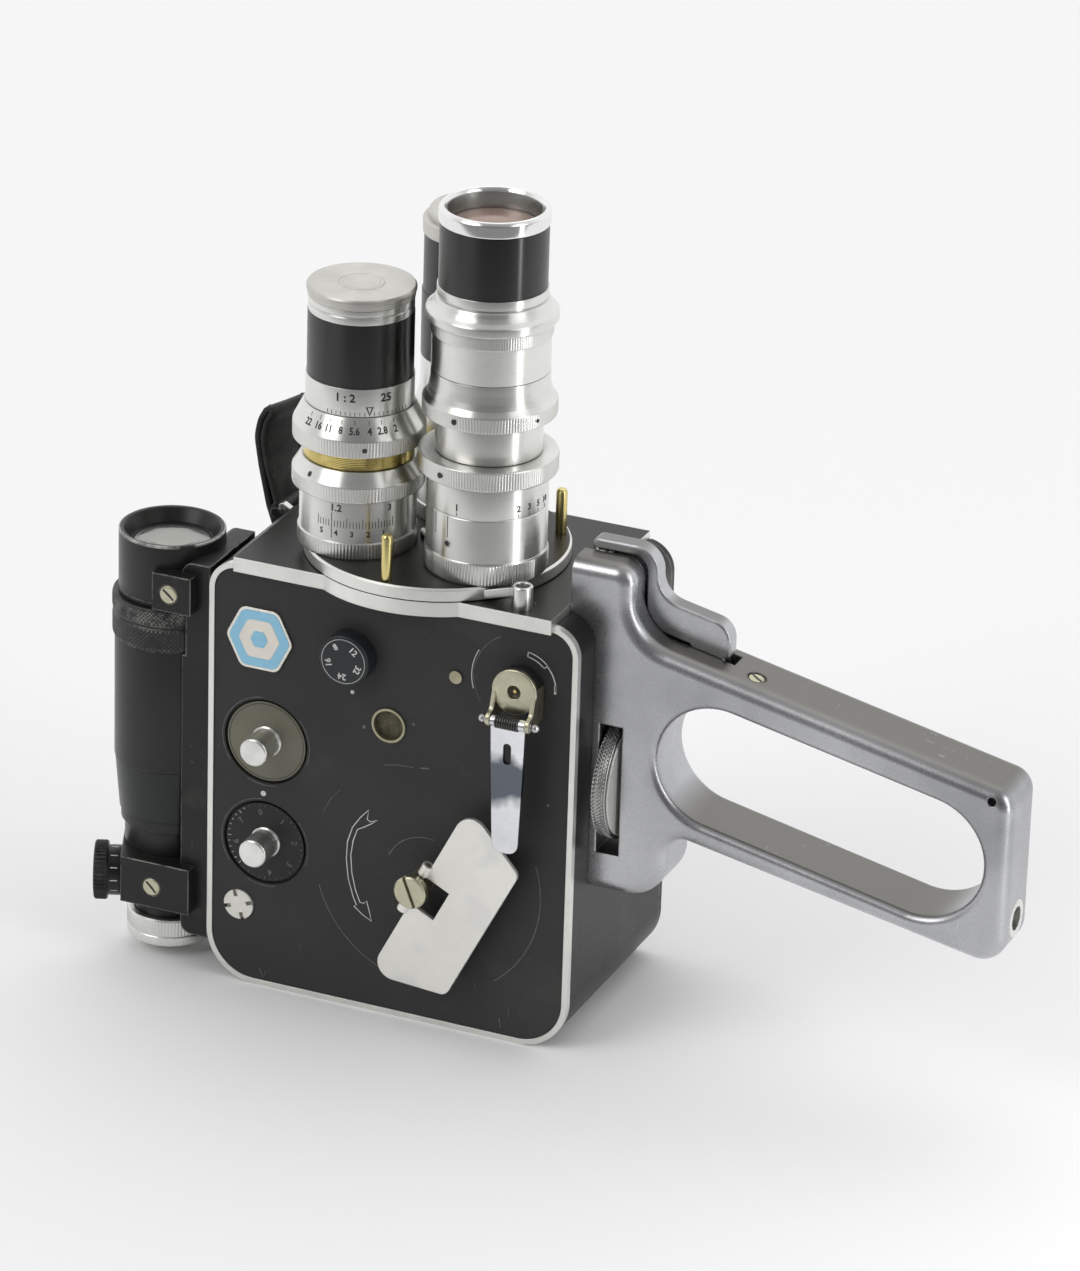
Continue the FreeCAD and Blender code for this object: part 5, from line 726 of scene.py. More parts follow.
def lens_a():
    turn = turner(LENS_A)
    turn("a_barrel", barrel_foot(142.0, 164.6), 0.2, ["lens_a_barrel"], ridges=110, depth=0.22)
    focus = [(RING_BORE, 142.1)] + knurl(17.2, 142.1, 146.3, 0.14, 0.4) + [
        (16.75, 146.7), (14.9, 149.8), (RING_BORE, 149.8)]
    turn("a_focus", focus, 0.15, ["lens_a_focus_ring"], body="lens_a_focus", ridges=130,
         depth=0.14)
    threads = [(TUBE_R, 149.9)]
    for k in range(9):
        threads += [(14.3, 150.0 + 0.48 * k), (14.22, 150.24 + 0.48 * k)]
    threads += [(14.3, 154.35), (TUBE_R, 154.4)]
    turn("a_helicoid", threads, 0.0, ["lens_a_helicoid"], "brass")
    iris = [(RING_BORE, 154.5)] + knurl(17.2, 154.5, 159.0, 0.16, 0.4) + [
        (16.9, 159.3), (14.3, 164.5), (RING_BORE, 164.5)]
    turn("a_iris", iris, 0.15, ["lens_a_iris_ring"], body="lens_a_iris", ridges=130, depth=0.16)
    name = [(GLASS_R, 164.6), (14.0, 164.6), (14.0, 172.1), (GLASS_R, 172.1)]
    turn("a_name_ring", name, 0.15, ["lens_a_head"])
    hood = [(HOOD_BORE, 172.1), (13.7, 172.1), (13.7, 189.2), (HOOD_BORE, 189.2)]
    turn("a_hood", hood, 0.2, material="hood")
    step = [(HOOD_BORE, 189.2), (13.6, 189.2), (13.6, 191.0), (13.35, 191.15), (13.35, 191.4),
            (13.6, 191.55), (13.6, 193.1), (HOOD_BORE, 193.1)]
    turn("a_step_ring", step, 0.12)
    inner = [(GLASS_R, 172.1), (11.3, 172.1), (11.3, 183.5), (GLASS_R, 183.5)]
    turn("a_inner", inner, 0.1, material="matt_black")
    cap = [(0.0, 194.9), (10.1, 194.9), (10.1, 187.1), (11.3, 187.1), (11.3, 193.2),
           (13.8, 193.2), (13.8, 194.6), (14.1, 194.75), (14.1, 195.6), (13.7, 196.1),
           (6.1, 196.1), (6.0, 195.95), (5.75, 195.95), (5.65, 196.1), (5.0, 196.1),
           (4.9, 196.0), (4.75, 196.0), (4.65, 196.1), (0.0, 196.1)]
    turn("a_cap", cap, 0.08, ["lens_a_cap"], "cap", "lens_a_lid")


def lens_b():
    turn = turner(LENS_B)
    base = [(TUBE_R, SEAT), (15.6, SEAT)] + knurl(16.0, 126.0, 131.5, 0.25) + [
        (15.75, 131.7), (15.6, 131.9), (15.6, 143.4), (15.45, 143.55), (15.45, 143.85),
        (15.6, 144.0), (15.6, 152.3), (TUBE_R, 152.3), (TUBE_R, 157.9), (13.8, 157.9),
        (13.8, 167.9), (TUBE_R, 167.9), (TUBE_R, 180.0), (GLASS_R, 180.0), (GLASS_R, SEAT)]
    turn("b_barrel", base, 0.2, ["lens_b_barrel"], ridges=120, depth=0.25)
    focus = [(RING_BORE, 152.4), (17.2, 152.4)] + knurl(18.0, 152.6, 157.7, 0.2, 0.5) + [
        (16.9, 157.8), (RING_BORE, 157.8)]
    turn("b_focus", focus, 0.25, ["lens_b_focus_ring"], body="lens_b_focus", ridges=150)
    iris = [(RING_BORE, 168.0), (16.8, 168.0)] + knurl(17.3, 168.1, 172.2, 0.16, 0.4) + [
        (16.9, 172.5), (16.1, 173.6), (15.6, 175.3), (15.3, 177.4), (15.2, 179.9),
        (RING_BORE, 179.9)]
    turn("b_iris", iris, 0.15, ["lens_b_iris_ring"], body="lens_b_iris", ridges=140, depth=0.16)
    tube = [(GLASS_R, 180.0), (15.2, 180.0), (15.2, 189.6)] + knurl(
        15.6, 189.7, 193.4, 0.1) + [
        (16.6, 193.5), (17.0, 193.8), (17.0, 195.7), (16.8, 196.1), (15.7, 197.0),
        (14.9, 198.1), (14.35, 199.3), (13.8, 199.5), (13.8, 199.8), (14.15, 199.9),
        (14.15, 202.3), (GLASS_R, 202.3)]
    turn("b_tube", tube, 0.2, ["lens_b_head"], ridges=140, depth=0.1)
    hood = [(12.2, 202.3), (13.85, 202.3), (13.85, 218.8), (12.2, 218.8)]
    turn("b_hood", hood, material="hood")
    rim = [(12.2, 218.8), (13.7, 218.8), (14.2, 219.2), (14.2, 222.3), (13.5, 223.2),
           (12.9, 223.2), (12.2, 222.2)]
    turn("b_rim", rim, 0.3, material="chrome")
    seat = [(GLASS_R, 202.3), (12.2, 202.3), (12.2, 214.5), (10.6, 214.5), (9.6, 211.0),
            (GLASS_R, 206.0)]
    turn("b_seat", seat, 0.1, material="matt_black")
    sleeve = [(11.2, 217.6), (12.2, 217.6), (12.2, 222.3), (12.05, 222.3), (11.6, 219.4)]
    turn("b_sleeve", sleeve, 0.1, material="inner_ring")
    front = [(0.0, 217.4), (11.1, 217.4), (11.1, 218.3), (8.3, 218.9), (4.2, 219.35),
             (0.0, 219.5)]
    turn("b_front_glass", front, 0.1, material="coating")
    rear = [(0.0, 204.0), (7.9, 204.0), (7.9, 205.2), (0.0, 206.8)]
    turn("b_rear_glass", rear, 0.1, material="hood")


def lens_c():
    turn = turner(LENS_C)
    turn("c_barrel", barrel_foot(144.0, 156.0), 0.2, ["lens_c_barrel"], ridges=110, depth=0.22)
    focus = [(RING_BORE, 144.1), (16.8, 144.1)] + knurl(17.2, 144.2, 150.0, 0.2, 0.5) + [
        (16.9, 150.2), (14.6, 155.9), (RING_BORE, 155.9)]
    turn("c_focus", focus, 0.2, ["lens_c_focus_ring"], body="lens_c_focus", ridges=130)
    flare = [(GLASS_R, 156.0), (15.4, 156.0), (14.4, 158.8), (14.0, 162.2), (14.0, 169.3),
             (GLASS_R, 169.3)]
    turn("c_flare", flare, 0.15, ["lens_c_head"])
    dark = [(GLASS_R, 169.3), (14.1, 169.3), (14.1, 187.0), (13.8, 187.2), (13.8, 202.7),
            (HOOD_BORE, 202.7), (HOOD_BORE, 193.0), (GLASS_R, 193.0)]
    turn("c_hood", dark, material="hood")
    cap = [(0.0, 207.8), (10.1, 207.8), (10.1, 196.7), (11.3, 196.7), (11.3, 202.8),
           (14.2, 202.8), (14.2, 206.3), (13.8, 206.7), (12.6, 206.7), (12.6, 208.6),
           (12.2, 209.0), (5.0, 209.0), (4.9, 208.85), (4.6, 208.85), (4.5, 209.0),
           (0.0, 209.0)]
    turn("c_cap", cap, 0.08, ["lens_c_cap"], "cap", "lens_c_lid")


def lens_marks():
    ink = Pen(on_ring(LENS_A, 15.1), "turret", "ink")
    for k in range(26):
        u = -10.5 + 0.82 * k
        ink.line([(u, 134.4), (u, 136.2 if k % 5 else 137.0)], 0.14)
    for k in range(5):
        ink.write(str(5 - k), -9.4 + 4.2 * k, 132.7, 1.5)
    ink.line([(-6.4, 131.2), (-6.4, 138.2)], 0.16)
    ink.write("1.2", -5.3, 139.6, 1.9)
    ink.write("3", 9.0, 139.6, 1.7)
    stops = Pen(on_ring(LENS_A, 16.9, 14.3, 159.3, 164.5), "lens_a_iris", "ink")
    for u, text in ((-15.5, "22"), (-11.6, "16"), (-8.2, "11"), (-4.6, "8"), (-0.8, "5.6"),
                    (3.4, "4"), (7.0, "2.8"), (11.0, "2")):
        stops.write(text, u, 161.4, 1.7)
        stops.line([(u, 162.9), (u, 163.9)], 0.16)
    Pen(on_ring(LENS_A, 17.2), "lens_a_iris", "ink").disc(2.0, 156.7, 0.6)
    Pen(on_ring(LENS_A, 16.75, 14.9, 146.7, 149.8), "lens_a_focus", "ink").disc(
        -14.0, 147.5, 0.65)
    name = Pen(on_ring(LENS_A, 14.0), "turret", "ink")
    name.line([(2.2, 167.3), (3.0, 165.2), (3.8, 167.3)], 0.5, True)
    for k in range(-9, 10):
        if k:
            u = 3.0 + 1.25 * k
            name.line([(u, 164.9), (u, 165.9)], 0.13)
    name.write("1 : 2", -3.4, 169.6, 2.2)
    name.write("25", 7.4, 169.6, 2.2)
    b_scale = on_ring(LENS_B, 15.6)
    Pen(b_scale, "turret", "steel").disc(-10.6, 136.0, 1.15, 0.12)
    ink = Pen(b_scale, "turret", "ink")
    ink.disc(-10.6, 136.0, 0.75, 0.16)
    ink.line([(-10.6, 137.6), (-10.6, 143.4)], 0.18)
    ink.line([(-15.0, 137.5), (-15.0, 143.4)], 0.18)
    ink.write("1", -7.9, 146.4, 1.8)
    ink.line([(-7.9, 144.2), (-7.9, 145.1)], 0.2)
    for k, text in enumerate(("2", "3", "5", "10")):
        u = 8.5 + 3.4 * k
        ink.write(text, u, 146.4, 1.7)
        ink.line([(u, 144.2), (u, 145.1)], 0.16)
    Pen(on_ring(LENS_B, 18.0), "lens_b_focus", "ink").disc(-13.3, 155.0, 0.75)
    b_iris = Pen(on_ring(LENS_B, 17.3), "lens_b_iris", "ink")
    b_iris.disc(-9.3, 170.2, 0.75)
    b_iris.disc(13.6, 170.2, 0.5)


# Side plate


ARROW = [(46.25, 57.75), (44.0, 55.25), (41.75, 51.875), (40.375, 47.5), (40.125, 42.5),
         (40.75, 36.875), (42.25, 31.875), (43.25, 29.625), (42.5, 29.25), (45.0, 27.25),
         (47.625, 25.875), (47.0, 28.5), (46.125, 31.5), (45.375, 30.625), (44.25, 30.625),
         (42.875, 34.0), (41.75, 38.75), (41.375, 43.75), (42.0, 48.125), (43.125, 51.5),
         (45.25, 52.75), (47.25, 54.125), (48.875, 55.375), (46.75, 54.5), (45.875, 55.0)]


def panel_marks():
    wall = on_panel()
    mark = Pen(wall, "camera", "mark")
    faint = Pen(wall, "camera", "faint")
    mark.line(ARROW, 0.26, True)
    mark.line(arc(CRANK, 9.3, 82, 44, 10) + arc(CRANK, 8.0, 44, 82, 10), 0.26, True)
    mark.line(arc(CRANK, 9.1, 44, -2, 14), 0.3)
    mark.line(arc(CRANK, 9.0, 8, -6, 6), 0.62)
    faint.line(arc(CRANK, 13.6, 118, 212), 0.2)
    mark.line(arc(CRANK, 14.2, 150, 196), 0.22)
    faint.line(arc(KEY, 11.3, 80, 158), 0.25)
    faint.line(arc(KEY, 31.6, 196, 262), 0.22)
    faint.line(arc(KEY, 32.4, -52, 18), 0.22)
    faint.line([(50.5, 71.6), (54.0, 72.4), (58.5, 72.6)], 0.2)
    faint.line([(60.6, 72.9), (63.0, 73.2)], 0.35)
    faint.line([(33.3, 54.6), (35.6, 59.0), (38.0, 61.8)], 0.16)
    for u, v, r in ((41.0, 90.3, 0.55), (16.0, 56.0, 0.75), (44.5, 81.2, 0.5),
                    (58.4, 84.8, 0.4), (96.5, 70.0, 0.4)):
        (mark if r > 0.5 else faint).disc(u, v, r)
    for at in (COUNTER, FRAMES):
        faint.line(arc(at, 12.5, 95, 215), 0.22)
        faint.line(arc(at, 12.5, 245, 285), 0.2)
        faint.line(arc(at, 12.5, -20, 40), 0.2)
    faint.line([(15.4, 4.8), (16.6, 2.2), (17.2, 4.2)], 0.22)
    faint.line([(84.6, 6.0), (85.0, 3.4)], 0.3)
    trim = Pen(on_panel(0.0), "camera", "ink")
    for u in (12.6, 90.2):
        trim.line([(u, 117.9), (u, 119.4)], 0.5)
    dial = on_panel(DIAL_Y)
    for k in range(40):
        path = [polar(FRAMES, r, 9 * k) for r in (10.3 if k % 5 else 9.9, 10.8)]
        if k % 5 == 0:
            path[0] = polar(FRAMES, 9.9, 9 * k)
        Pen(dial, "frame_counter", "mark" if 13 < k < 26 else "faint").line(path, 0.16)
    for k in range(8):
        turn = 100 - 45 * k
        Pen(dial, "frame_counter", "faint").write(str(k), *polar(FRAMES, 8.5, turn), 1.7,
                                                  turn - 90)
    Pen(dial, "footage_counter", "dial").line(arc(COUNTER, 10.6, 0, 360, 60)[:-1], 0.12, True)
    speed = Pen(on_panel(SPEED_Y), "speed_selector", "mark")
    for k, text in enumerate(("8", "12", "32", "24", "16")):
        turn = 122 - 72 * k
        speed.write(text, *polar(SPEED, 4.2, turn), 1.7, turn - 90)
    speed.line(arc(SPEED, 6.05, 0, 360, 48)[:-1], 0.14, True)


def dials():
    for name, at, body, face in (("counter", COUNTER, "footage_counter", "olive"),
                                 ("frame", FRAMES, "frame_counter", "dial")):
        plate = [(0.0, DIAL_Y), (11.2, DIAL_Y), (11.2, 1.4), (1.2, 1.4), (1.2, 3.5), (0.0, 3.5)]
        lathe(name + "_disc", plate, sideways(at), face, body, [name + "_dial"], 0.15)
        knob = [(0.0, -7.7), (3.5, -7.7), (3.9, -7.3), (3.9, -1.6), (3.75, -1.4), (3.75, 0.2),
                (4.4, DIAL_Y), (0.0, DIAL_Y)]
        lathe(name + "_knob_turned", knob, sideways(at), "aluminium", body, [name + "_knob"],
              0.25, 64)
    speed = [(0.0, SPEED_Y), (6.3, SPEED_Y), (6.45, -4.85), (6.7, -4.85), (7.0, -4.5),
             (7.0, 0.2), (1.5, 0.2), (1.5, 3.5), (0.0, 3.5)]
    lathe("speed_knob", speed, sideways(SPEED), "dial_face", "speed_selector", ["speed_dial"],
          0.12)


def crank_and_eyelet():
    """Crank hub with its cheeks, pin and coil, and the cup in the eyelet."""
    at = sideways(CRANK)
    cap = [(1.8, -4.3), (1.8, -5.35), (1.95, -5.5), (5.95, -5.5), (6.2, -5.25), (6.2, -4.2),
           (5.9, -4.0), (1.8, -4.0)]
    lathe("hub_cap", cap, at, "pale_brass", "crank", ["crank_hub"], 0.12, 64)
    neck = [(0.0, -4.0), (5.5, -4.0), (5.5, 0.15), (2.0, 0.15), (2.0, 9.0), (0.0, 9.0)]
    lathe("hub_neck", neck, at, "black_metal", "crank", edge=0.1, seg=64)
    socket = [(0.0, -4.4), (1.0, -4.4), (1.75, -5.0), (1.75, -4.05), (0.0, -4.05)]
    lathe("hub_socket", socket, at, "pit_shade", "crank", edge=0.05, seg=32)
    stud = [(0.0, -4.85), (0.45, -4.8), (0.6, -4.6), (0.6, -4.3), (0.0, -4.3)]
    lathe("hub_stud", stud, at, "brass", "crank", edge=0.05, seg=24)
    cheek = rounded_outline([(0.1, 1.2, 0), (0.1, -8.0, 0), (-5.6, -9.1, 1.0),
                             (-9.75, -9.1, 1.65), (-9.75, -5.7, 1.65), (-7.2, -5.0, 1.5),
                             (-4.9, 1.2, 1.2)])
    for k, x in enumerate((CRANK[0] - 6.05, CRANK[0] + 4.85)):
        prism("hub_cheek_%d" % k, cheek, x, x + 1.2, crosswise((0.0, CRANK[1])), "pale_brass",
              "crank", bevel=0.25)
    pin = crosswise((HUB_PIN_Y, CRANK[1] - HUB_PIN_DROP))
    half = [(8.4, 0.0), (8.3, 0.5), (7.9, 1.0), (7.3, 1.2), (6.7, 1.0), (6.4, 0.7), (6.3, 1.3),
            (6.1, 1.3), (6.05, 0.7)]
    rod = [(r, CRANK[0] - x) for x, r in half] + [(r, CRANK[0] + x) for x, r in reversed(half)]
    lathe("hub_pin", rod, pin, "steel", "crank", edge=0.05, seg=32, crease=50)
    coil = [(1.4, CRANK[0] - 3.5)]
    for k in range(10):
        x = CRANK[0] - 3.5 + 0.66 * k
        coil += [(1.62, x), (1.88, x + 0.2), (1.88, x + 0.46), (1.62, x + 0.64)]
    coil.append((1.4, CRANK[0] + 3.14))
    lathe("crank_coil", coil, pin, "dark_steel_and_shade", "crank_handle", edge=0.0, seg=40)
    cup = [(0.0, 1.6), (3.8, 1.35), (3.98, 0.35), (4.09, 0.35), (4.09, 1.9), (0.0, 1.9)]
    lathe("eyelet_cup", cup, sideways(EYELET), "pit_shade", edge=0.05, seg=48)


def badge():
    """Plain six-sided badge of four layers."""
    x, z = BADGE
    for k, (scale, low, high, colour) in enumerate((
            (1.0, 0.3, -0.3, "rim_badge"), (0.92, -0.28, -0.36, "blue"),
            (0.62, -0.33, -0.42, "cream"), (0.26, -0.38, -0.48, "blue"))):
        w, h, r = 9.5 * scale, 8.5 * scale, 2.5 * scale
        corners = [(x - w, z, r), (x - w * 0.55, z - h, r), (x + w * 0.55, z - h, r),
                   (x + w, z, r), (x + w * 0.55, z + h, r), (x - w * 0.55, z + h, r)]
        prism("badge_%d" % k, rounded_outline(corners), low, high, sideways((0, 0)), colour,
              replaces=["badge_plate"] if k == 0 else [])


# Turned pieces of the turret, the grip and the viewfinder


def turret_parts():
    for k, angle in enumerate((-90, 30, 150)):
        pin = [(0.0, SEAT), (1.5, SEAT), (1.5, 137.5), (1.05, 138.2), (0.0, 138.3)]
        lathe("turret_pin_%d" % k, pin, upright(polar(TURRET, TURRET_PINS_R, angle)),
              "pin_brass", "turret", ["turret_pins"] if k == 0 else [], 0.2, 40)
    post = [(1.75, 118.0), (2.7, 118.0), (2.7, 127.7), (2.4, 128.1), (1.95, 128.1),
            (1.75, 127.9)]
    lathe("release_post", post, upright(RELEASE), "post", "camera", ["release_socket"], 0.15,
          48)
    floor = [(0.0, 121.5), (1.7, 121.5), (1.7, 122.0), (0.0, 122.0)]
    lathe("release_floor", floor, upright(RELEASE), "matt_black", edge=0.1, seg=32)
    plug = [(0.0, 119.2), (2.8, 119.2), (2.8, 120.04), (0.0, 120.04)]
    lathe("release_plug", plug, upright(RELEASE_BORE), "enamel", edge=0.02, seg=48)
    outline = rounded_outline([(75.1, 2.0, 0.5), (83.6, 4.0, 0.3), (83.4, 6.2, 0.3),
                               (76.7, 3.9, 0.5)])

    def rising(x, y, h):
        return (x, y, h + 1.5 * max(0.0, x - 76.0) / 7.0)
    prism("catch_spring", outline, 122.6, 125.2, rising, "plate", "camera", ["turret_catch"],
          0.3)


def thumbwheel():
    where = crosswise(WHEEL)
    wheel = [(0.0, 106.0), (14.6, 106.0), (15.6, 106.3)] + knurl(
        16.5, 106.3, 110.2, 0.3, 0.45, 0.3) + [
        (15.6, 110.2), (14.6, 110.5), (2.5, 110.5), (2.5, 112.9), (0.0, 112.9)]
    lathe("thumbwheel_knurled", wheel, where, "wheel", "grip_screw", ["thumbwheel"], 0.2,
          ridges=92, depth=0.42, lean=1.1)
    face = [(2.5, 110.4), (15.0, 110.4), (15.5, 110.3), (15.2, 110.75), (2.5, 110.75)]
    lathe("thumbwheel_face", face, where, "wheel_face", "grip_screw", edge=0.1)
    screw = [(0.0, 98.6)]
    for k in range(9):
        screw += [(3.17, 98.7 + 0.8 * k), (2.75, 99.1 + 0.8 * k)]
    screw += [(3.17, 106.1), (0.0, 106.1)]
    lathe("thumb_screw", screw, where, "steel", "grip_screw", edge=0.0, seg=48)


def finder_parts():
    at = upright(FINDER)
    main = [(13.2, 56.0), (14.85, 56.0), (15.0, 56.2), (15.0, 90.9), (13.2, 90.9),
            (13.2, 103.1), (14.0, 103.1), (14.0, 104.2), (13.85, 104.35), (14.0, 104.5),
            (14.0, 120.3), (13.75, 120.6), (12.95, 120.6), (12.6, 120.25), (10.75, 117.2),
            (10.7, 115.8), (9.6, 115.8), (9.6, 56.0)]
    lathe("finder_main", main, at, "black_metal", "camera", ["finder_tube"], 0.15)
    worn = [(13.7, 119.9), (14.04, 119.9), (14.04, 120.35), (13.78, 120.63), (13.6, 120.63)]
    lathe("finder_worn_rim", worn, at, "worn", edge=0.05)
    taper = [(9.6, 56.0), (14.85, 56.0), (14.8, 55.6), (13.6, 41.0), (7.5, 41.0)]
    lathe("finder_taper", taper, at, "tube_grey", edge=0.1)
    eye = [(7.5, 5.5), (9.6, 5.5), (9.6, 17.0), (12.2, 17.0), (12.2, 37.6), (13.2, 37.8),
           (13.2, 41.0), (7.5, 41.0)]
    lathe("finder_eye_tube", eye, at, "black_metal", edge=0.2)
    zoom = [(13.25, 91.0), (15.2, 91.0)] + knurl(15.7, 91.2, 97.4, 0.35, 0.4, 0.3) + [
        (15.1, 97.5), (15.1, 98.2)] + knurl(15.7, 98.3, 102.9, 0.35, 0.4, 0.3) + [
        (15.2, 103.0), (13.25, 103.0)]
    lathe("finder_zoom", zoom, at, "black_metal", "zoom_ring", ["finder_zoom_ring"], 0.15,
          ridges=84, depth=0.35, lean=1.2)
    mask = [(0.0, 113.6), (9.55, 113.6), (9.55, 114.2), (0.0, 114.2)]
    lathe("finder_field", mask, at, "frosted", edge=0.1)
    eyepiece = [(5.4, 4.1), (8.4, 3.5), (11.1, 3.5), (11.6, 4.0), (11.6, 6.2)] + knurl(
        11.6, 6.4, 10.9, 0.25, 0.3) + [(11.3, 11.3), (9.65, 11.3), (9.65, 5.4), (5.4, 5.4)]
    lathe("finder_eyepiece_ring", eyepiece, at, "aluminium", "eyepiece", ["finder_eyepiece"],
          0.2, ridges=80, depth=0.25)
    across = Vector((math.sin(math.radians(VIEW_AZ)), -math.cos(math.radians(VIEW_AZ))))
    out = Vector((across.y, -across.x))
    foot = Vector((-24.0, -3.0)) - across * 8.1

    def slanted(x, y, h):
        p = foot + out * h + across * x
        return (p.x, p.y, 22.4 + y)
    knob = [(0.0, 0.1), (6.7, 0.1), (6.7, 3.7), (7.3, 3.7)] + knurl(
        8.0, 3.7, 7.3, 0.4, 0.5) + [(7.0, 7.4), (2.6, 7.4), (2.4, 7.1), (0.0, 7.1)]
    lathe("parallax_knurled", knob, slanted, "black_knob", "parallax", ["parallax_knob"], 0.2,
          ridges=44, depth=0.4)
    for k in range(12):
        def hub(u, v, w, start=30 * k):
            return slanted(*polar((0, 0), 6.7 + w, start + math.degrees(u / 6.7)), v)
        Pen(hub, "parallax", "mark").line([(0.0, 1.0), (0.0, 2.9)], 0.3)


def on_slope(x, y, h):
    """Frame of the screw on the grip's upper slope, h counted into the grip."""
    tilt = math.radians(12.02)
    return (145.2 + x * math.cos(tilt) - h * math.sin(tilt), 18.0 + y,
            108.88 - x * math.sin(tilt) - h * math.cos(tilt))


def screws():
    """Slotted screws of the two clamps, and of the grip, which is smaller and in a sink. The
    sink's dark ring and the slots' black strips are painted shade.
    """
    for k, (where, turn) in enumerate(((sideways((-14.9, 23.3)), -45),
                                       (sideways((-10.3, 108.6)), -40), (on_slope, -30))):
        in_grip = where is on_slope
        face = 0.0 if in_grip else -3.0
        head = [(0.0, face - 0.05), (1.9, face - 0.15), (2.4, face - 0.05), (2.5, face + 0.3),
                (2.5, face + 1.4), (0.0, face + 1.4)]
        if in_grip:
            face = 0.25
            head = [(r * 0.88, h + face) for r, h in head]
            # The sink is a dark ring: painted shade of the countersink.
            sink = [(2.25, 0.5), (2.35, 0.02), (2.75, -0.04), (2.9, 0.1), (2.9, 0.5)]
            lathe("screw_sink", sink, where, "dark_steel_and_shade", edge=0.05, seg=40)
        lathe("screw_%d" % k, head, where, "pale_brass", "camera",
              ["slotted_screws"] if k == 0 else [], 0.15, 40)

        # The slot is a black strip on the head: painted shade of the slot.
        def slot(u, v, w, where=where, face=face):
            return where(u, v, face - 0.05 - w)
        ends = [polar((0, 0), r, turn) for r in (-2.0, 2.0)]
        Pen(slot, "camera", "ink").line(ends, 0.55, rise=0.13)


# Strap


def bend(corners, step=1.2):
    """Even points along a path whose corners are rounded by the given radii."""
    made = [Vector(corners[0][:2])]
    for before, (x, z, r), after in zip(corners, corners[1:], corners[2:]):
        made += fillet(before[:2], Vector((x, z)), after[:2], r, step=step)
    made.append(Vector(corners[-1][:2]))
    even = [made[0]]
    for q in made[1:]:
        start = even[-1].copy()
        pieces = max(1, int((q - start).length / step))
        even += [start + (q - start) * k / pieces for k in range(1, pieces + 1)]
    return even


STRAP_PATH = [(*FRONT_LUG, 0), (-6.6, 126.6, 18.7), (-7.95, 134.4, 8.3), (-7.05, 138.8, 5.3),
              (-5.15, 142.4, 0.84), (-6.65, 143.25, 0.84), (-8.7, 139.6, 7.0),
              (-9.7, 134.6, 10.0), (-8.35, 126.4, 17.0), (-5.95, 115.6, 5.0),
              (-3.1, 107.4, 6.0), (-13.0, 88.0, 26.0), (-13.0, 69.6, 40.0), (*REAR_LUG, 0)]


def leaning(x, across, z):
    """Place of a strap point: its far edge leans out and up towards the fold."""
    share = max(0.0, min(1.0, (z - 115.0) / 17.0)) * (across + STRAP_HALF_W) / (2 * STRAP_HALF_W)
    return (x + 5.6 * share, STRAP_MID + across, z + 0.8 * share)


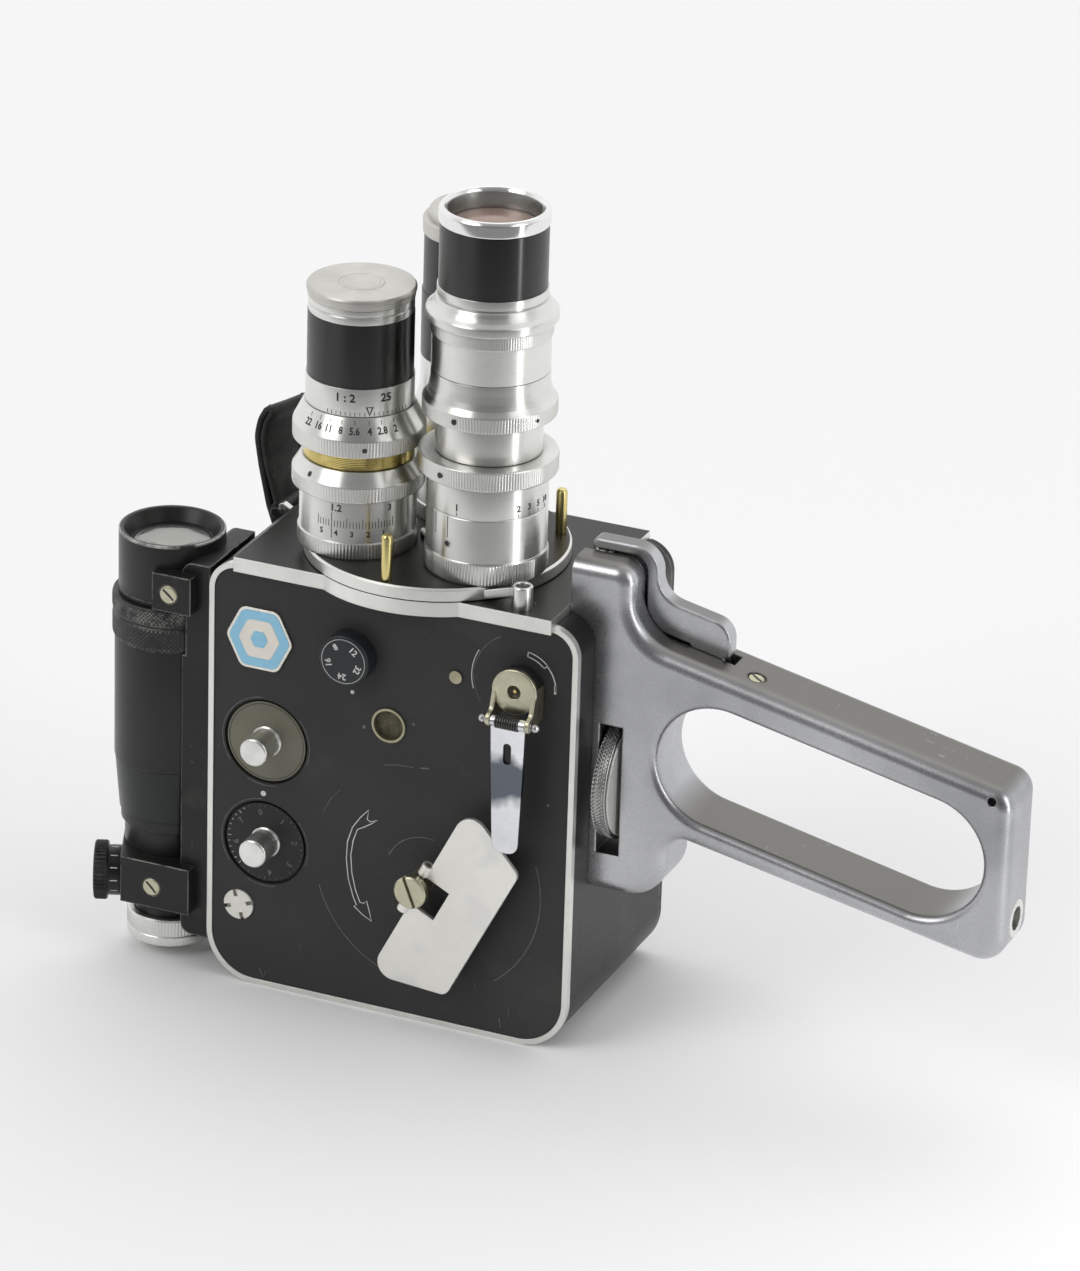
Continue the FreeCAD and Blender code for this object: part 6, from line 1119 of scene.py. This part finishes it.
def strap():
    """Flat leather strap with its stitches, and the lugs that hold it."""
    path = bend(STRAP_PATH)
    count = len(path)
    section = []
    r = 0.45
    for sx, sy, start in ((1, 1, 0), (-1, 1, 90), (-1, -1, 180), (1, -1, 270)):
        corner = (sx * (STRAP_HALF_W - r), sy * (STRAP_HALF_T - r))
        section += [polar(corner, r, start + 22.5 * k) for k in range(5)]
    section.insert(5, (0.0, STRAP_HALF_T + 0.12))
    section.insert(16, (0.0, -STRAP_HALF_T + 0.1))
    points, sides = [], []
    for i, q in enumerate(path):
        way = (path[min(i + 1, count - 1)] - path[max(i - 1, 0)]).normalized()
        side = Vector((-way.y, way.x))
        sides.append(side)
        for across, lift in section:
            p = q + side * lift
            points.append(leaning(p.x, across, p.y))
    add("strap_leather", points, skin(len(section), count), "leather", "camera", ["strap"], 50)
    points, faces = [], []
    for across in (-4.9, 4.9):
        for level in (1, -1):
            for i in range(2, count - 3, 3):
                start = len(points)
                end = path[i + 1] * 0.2 + path[i + 2] * 0.8
                for q, side in ((path[i], sides[i]), (end, sides[i + 2])):
                    for da, dl in ((-0.22, 0.0), (0.22, 0.0), (0.22, 0.2), (-0.22, 0.2)):
                        p = q + side * level * (STRAP_HALF_T - 0.05 + dl)
                        points.append(leaning(p.x, across + da, p.y))
                faces += [tuple(start + k for k in face) for face in skin(4, 2)]
    add("strap_stitches", points, faces, "thread", "camera")
    front_ear = [(0.0, -0.6, 0), (0.0, -3.2, 0), (-3.2, -1.8, 1.6), (-5.1, 0.0, 1.2),
                 (-3.4, 1.9, 1.2)]
    rear_ear = [(0.0, 3.2, 0), (0.0, -3.2, 0), (-8.0, -3.0, 2.9), (-8.0, 3.0, 2.9)]
    near, far = STRAP_MID - STRAP_HALF_W, STRAP_MID + STRAP_HALF_W
    for lug, r, name, ear in ((FRONT_LUG, 2.45, "front", front_ear),
                              (REAR_LUG, 3.6, "rear", rear_ear)):
        eye = [(1.6, near), (r - 0.2, near), (r, near + 0.2), (r, far - 0.2), (r - 0.2, far),
               (1.6, far)]
        lathe("strap_eye_" + name, eye, sideways(lug), "leather", edge=0.1, seg=40)
        bar = [(0.0, near - 1), (1.35, near - 1), (1.35, far + 1), (0.0, far + 1)]
        lathe("lug_bar_" + name, bar, sideways(lug), "steel", "camera",
              ["strap_lugs"] if name == "front" else [], 0.1, 32)
        for k, y in enumerate((45.7, 59.4)):
            prism("lug_ear_%s_%d" % (name, k), rounded_outline(ear), y, y + 1.5,
                  sideways((0.0, lug[1])), "black_metal", bevel=0.3)
    link = rounded_outline([(0.9, -2.2, 0), (-1.6, -1.6, 1.0), (-2.9, 1.4, 0.7),
                            (-1.9, 2.6, 0.8), (0.9, 1.0, 0)])
    prism("lug_link", link, 46.9, 49.1, sideways((0.0, 114.8)), "aluminium", bevel=0.3)


FINISHES = {
    "enamel": ["body_shell", "film_door", "finder_base", "finder_clamps"],
    "panel": ["side_plate"],
    "trim": ["side_trim"],
    "plate": ["front_plate", "turret_disc"],
    "aluminium": ["tripod_insert"],
    "cast": ["grip_frame", "works_plate", "film_gate"],
    "steel": ["turret_pivot", "release_button", "hinge_pins", "spring_barrel", "shutter",
              "take_up_spool", "door_latch"],
    "trigger": ["trigger"],
    "nickel": ["winding_key"],
    "pale_brass": ["winding_arbor"],
    "arm": ["crank_arm"],
    "brass": ["centre_wheel"],
    "eyelet": ["brass_fittings"],
    "white_nut": ["slotted_nut"],
    "glass": ["lens_elements"],
    "field_glass": ["finder_front_lens"],
}


def dress_nodes():
    for material, names in FINISHES.items():
        for name in names:
            mesh = nodes[name].data
            mesh.materials.clear()
            mesh.materials.append(M[material])
            mesh.shade_smooth()
            mesh.set_sharp_from_angle(angle=math.radians(28))


def lay_marks():
    for (body, colour), (points, faces) in marks.items():
        add("marks_%s_%s" % (body, colour), points, faces, colour, body)


look()
studio()
dress_nodes()
lens_a()
lens_b()
lens_c()
lens_marks()
panel_marks()
dials()
crank_and_eyelet()
badge()
turret_parts()
thumbwheel()
finder_parts()
screws()
strap()
lay_marks()
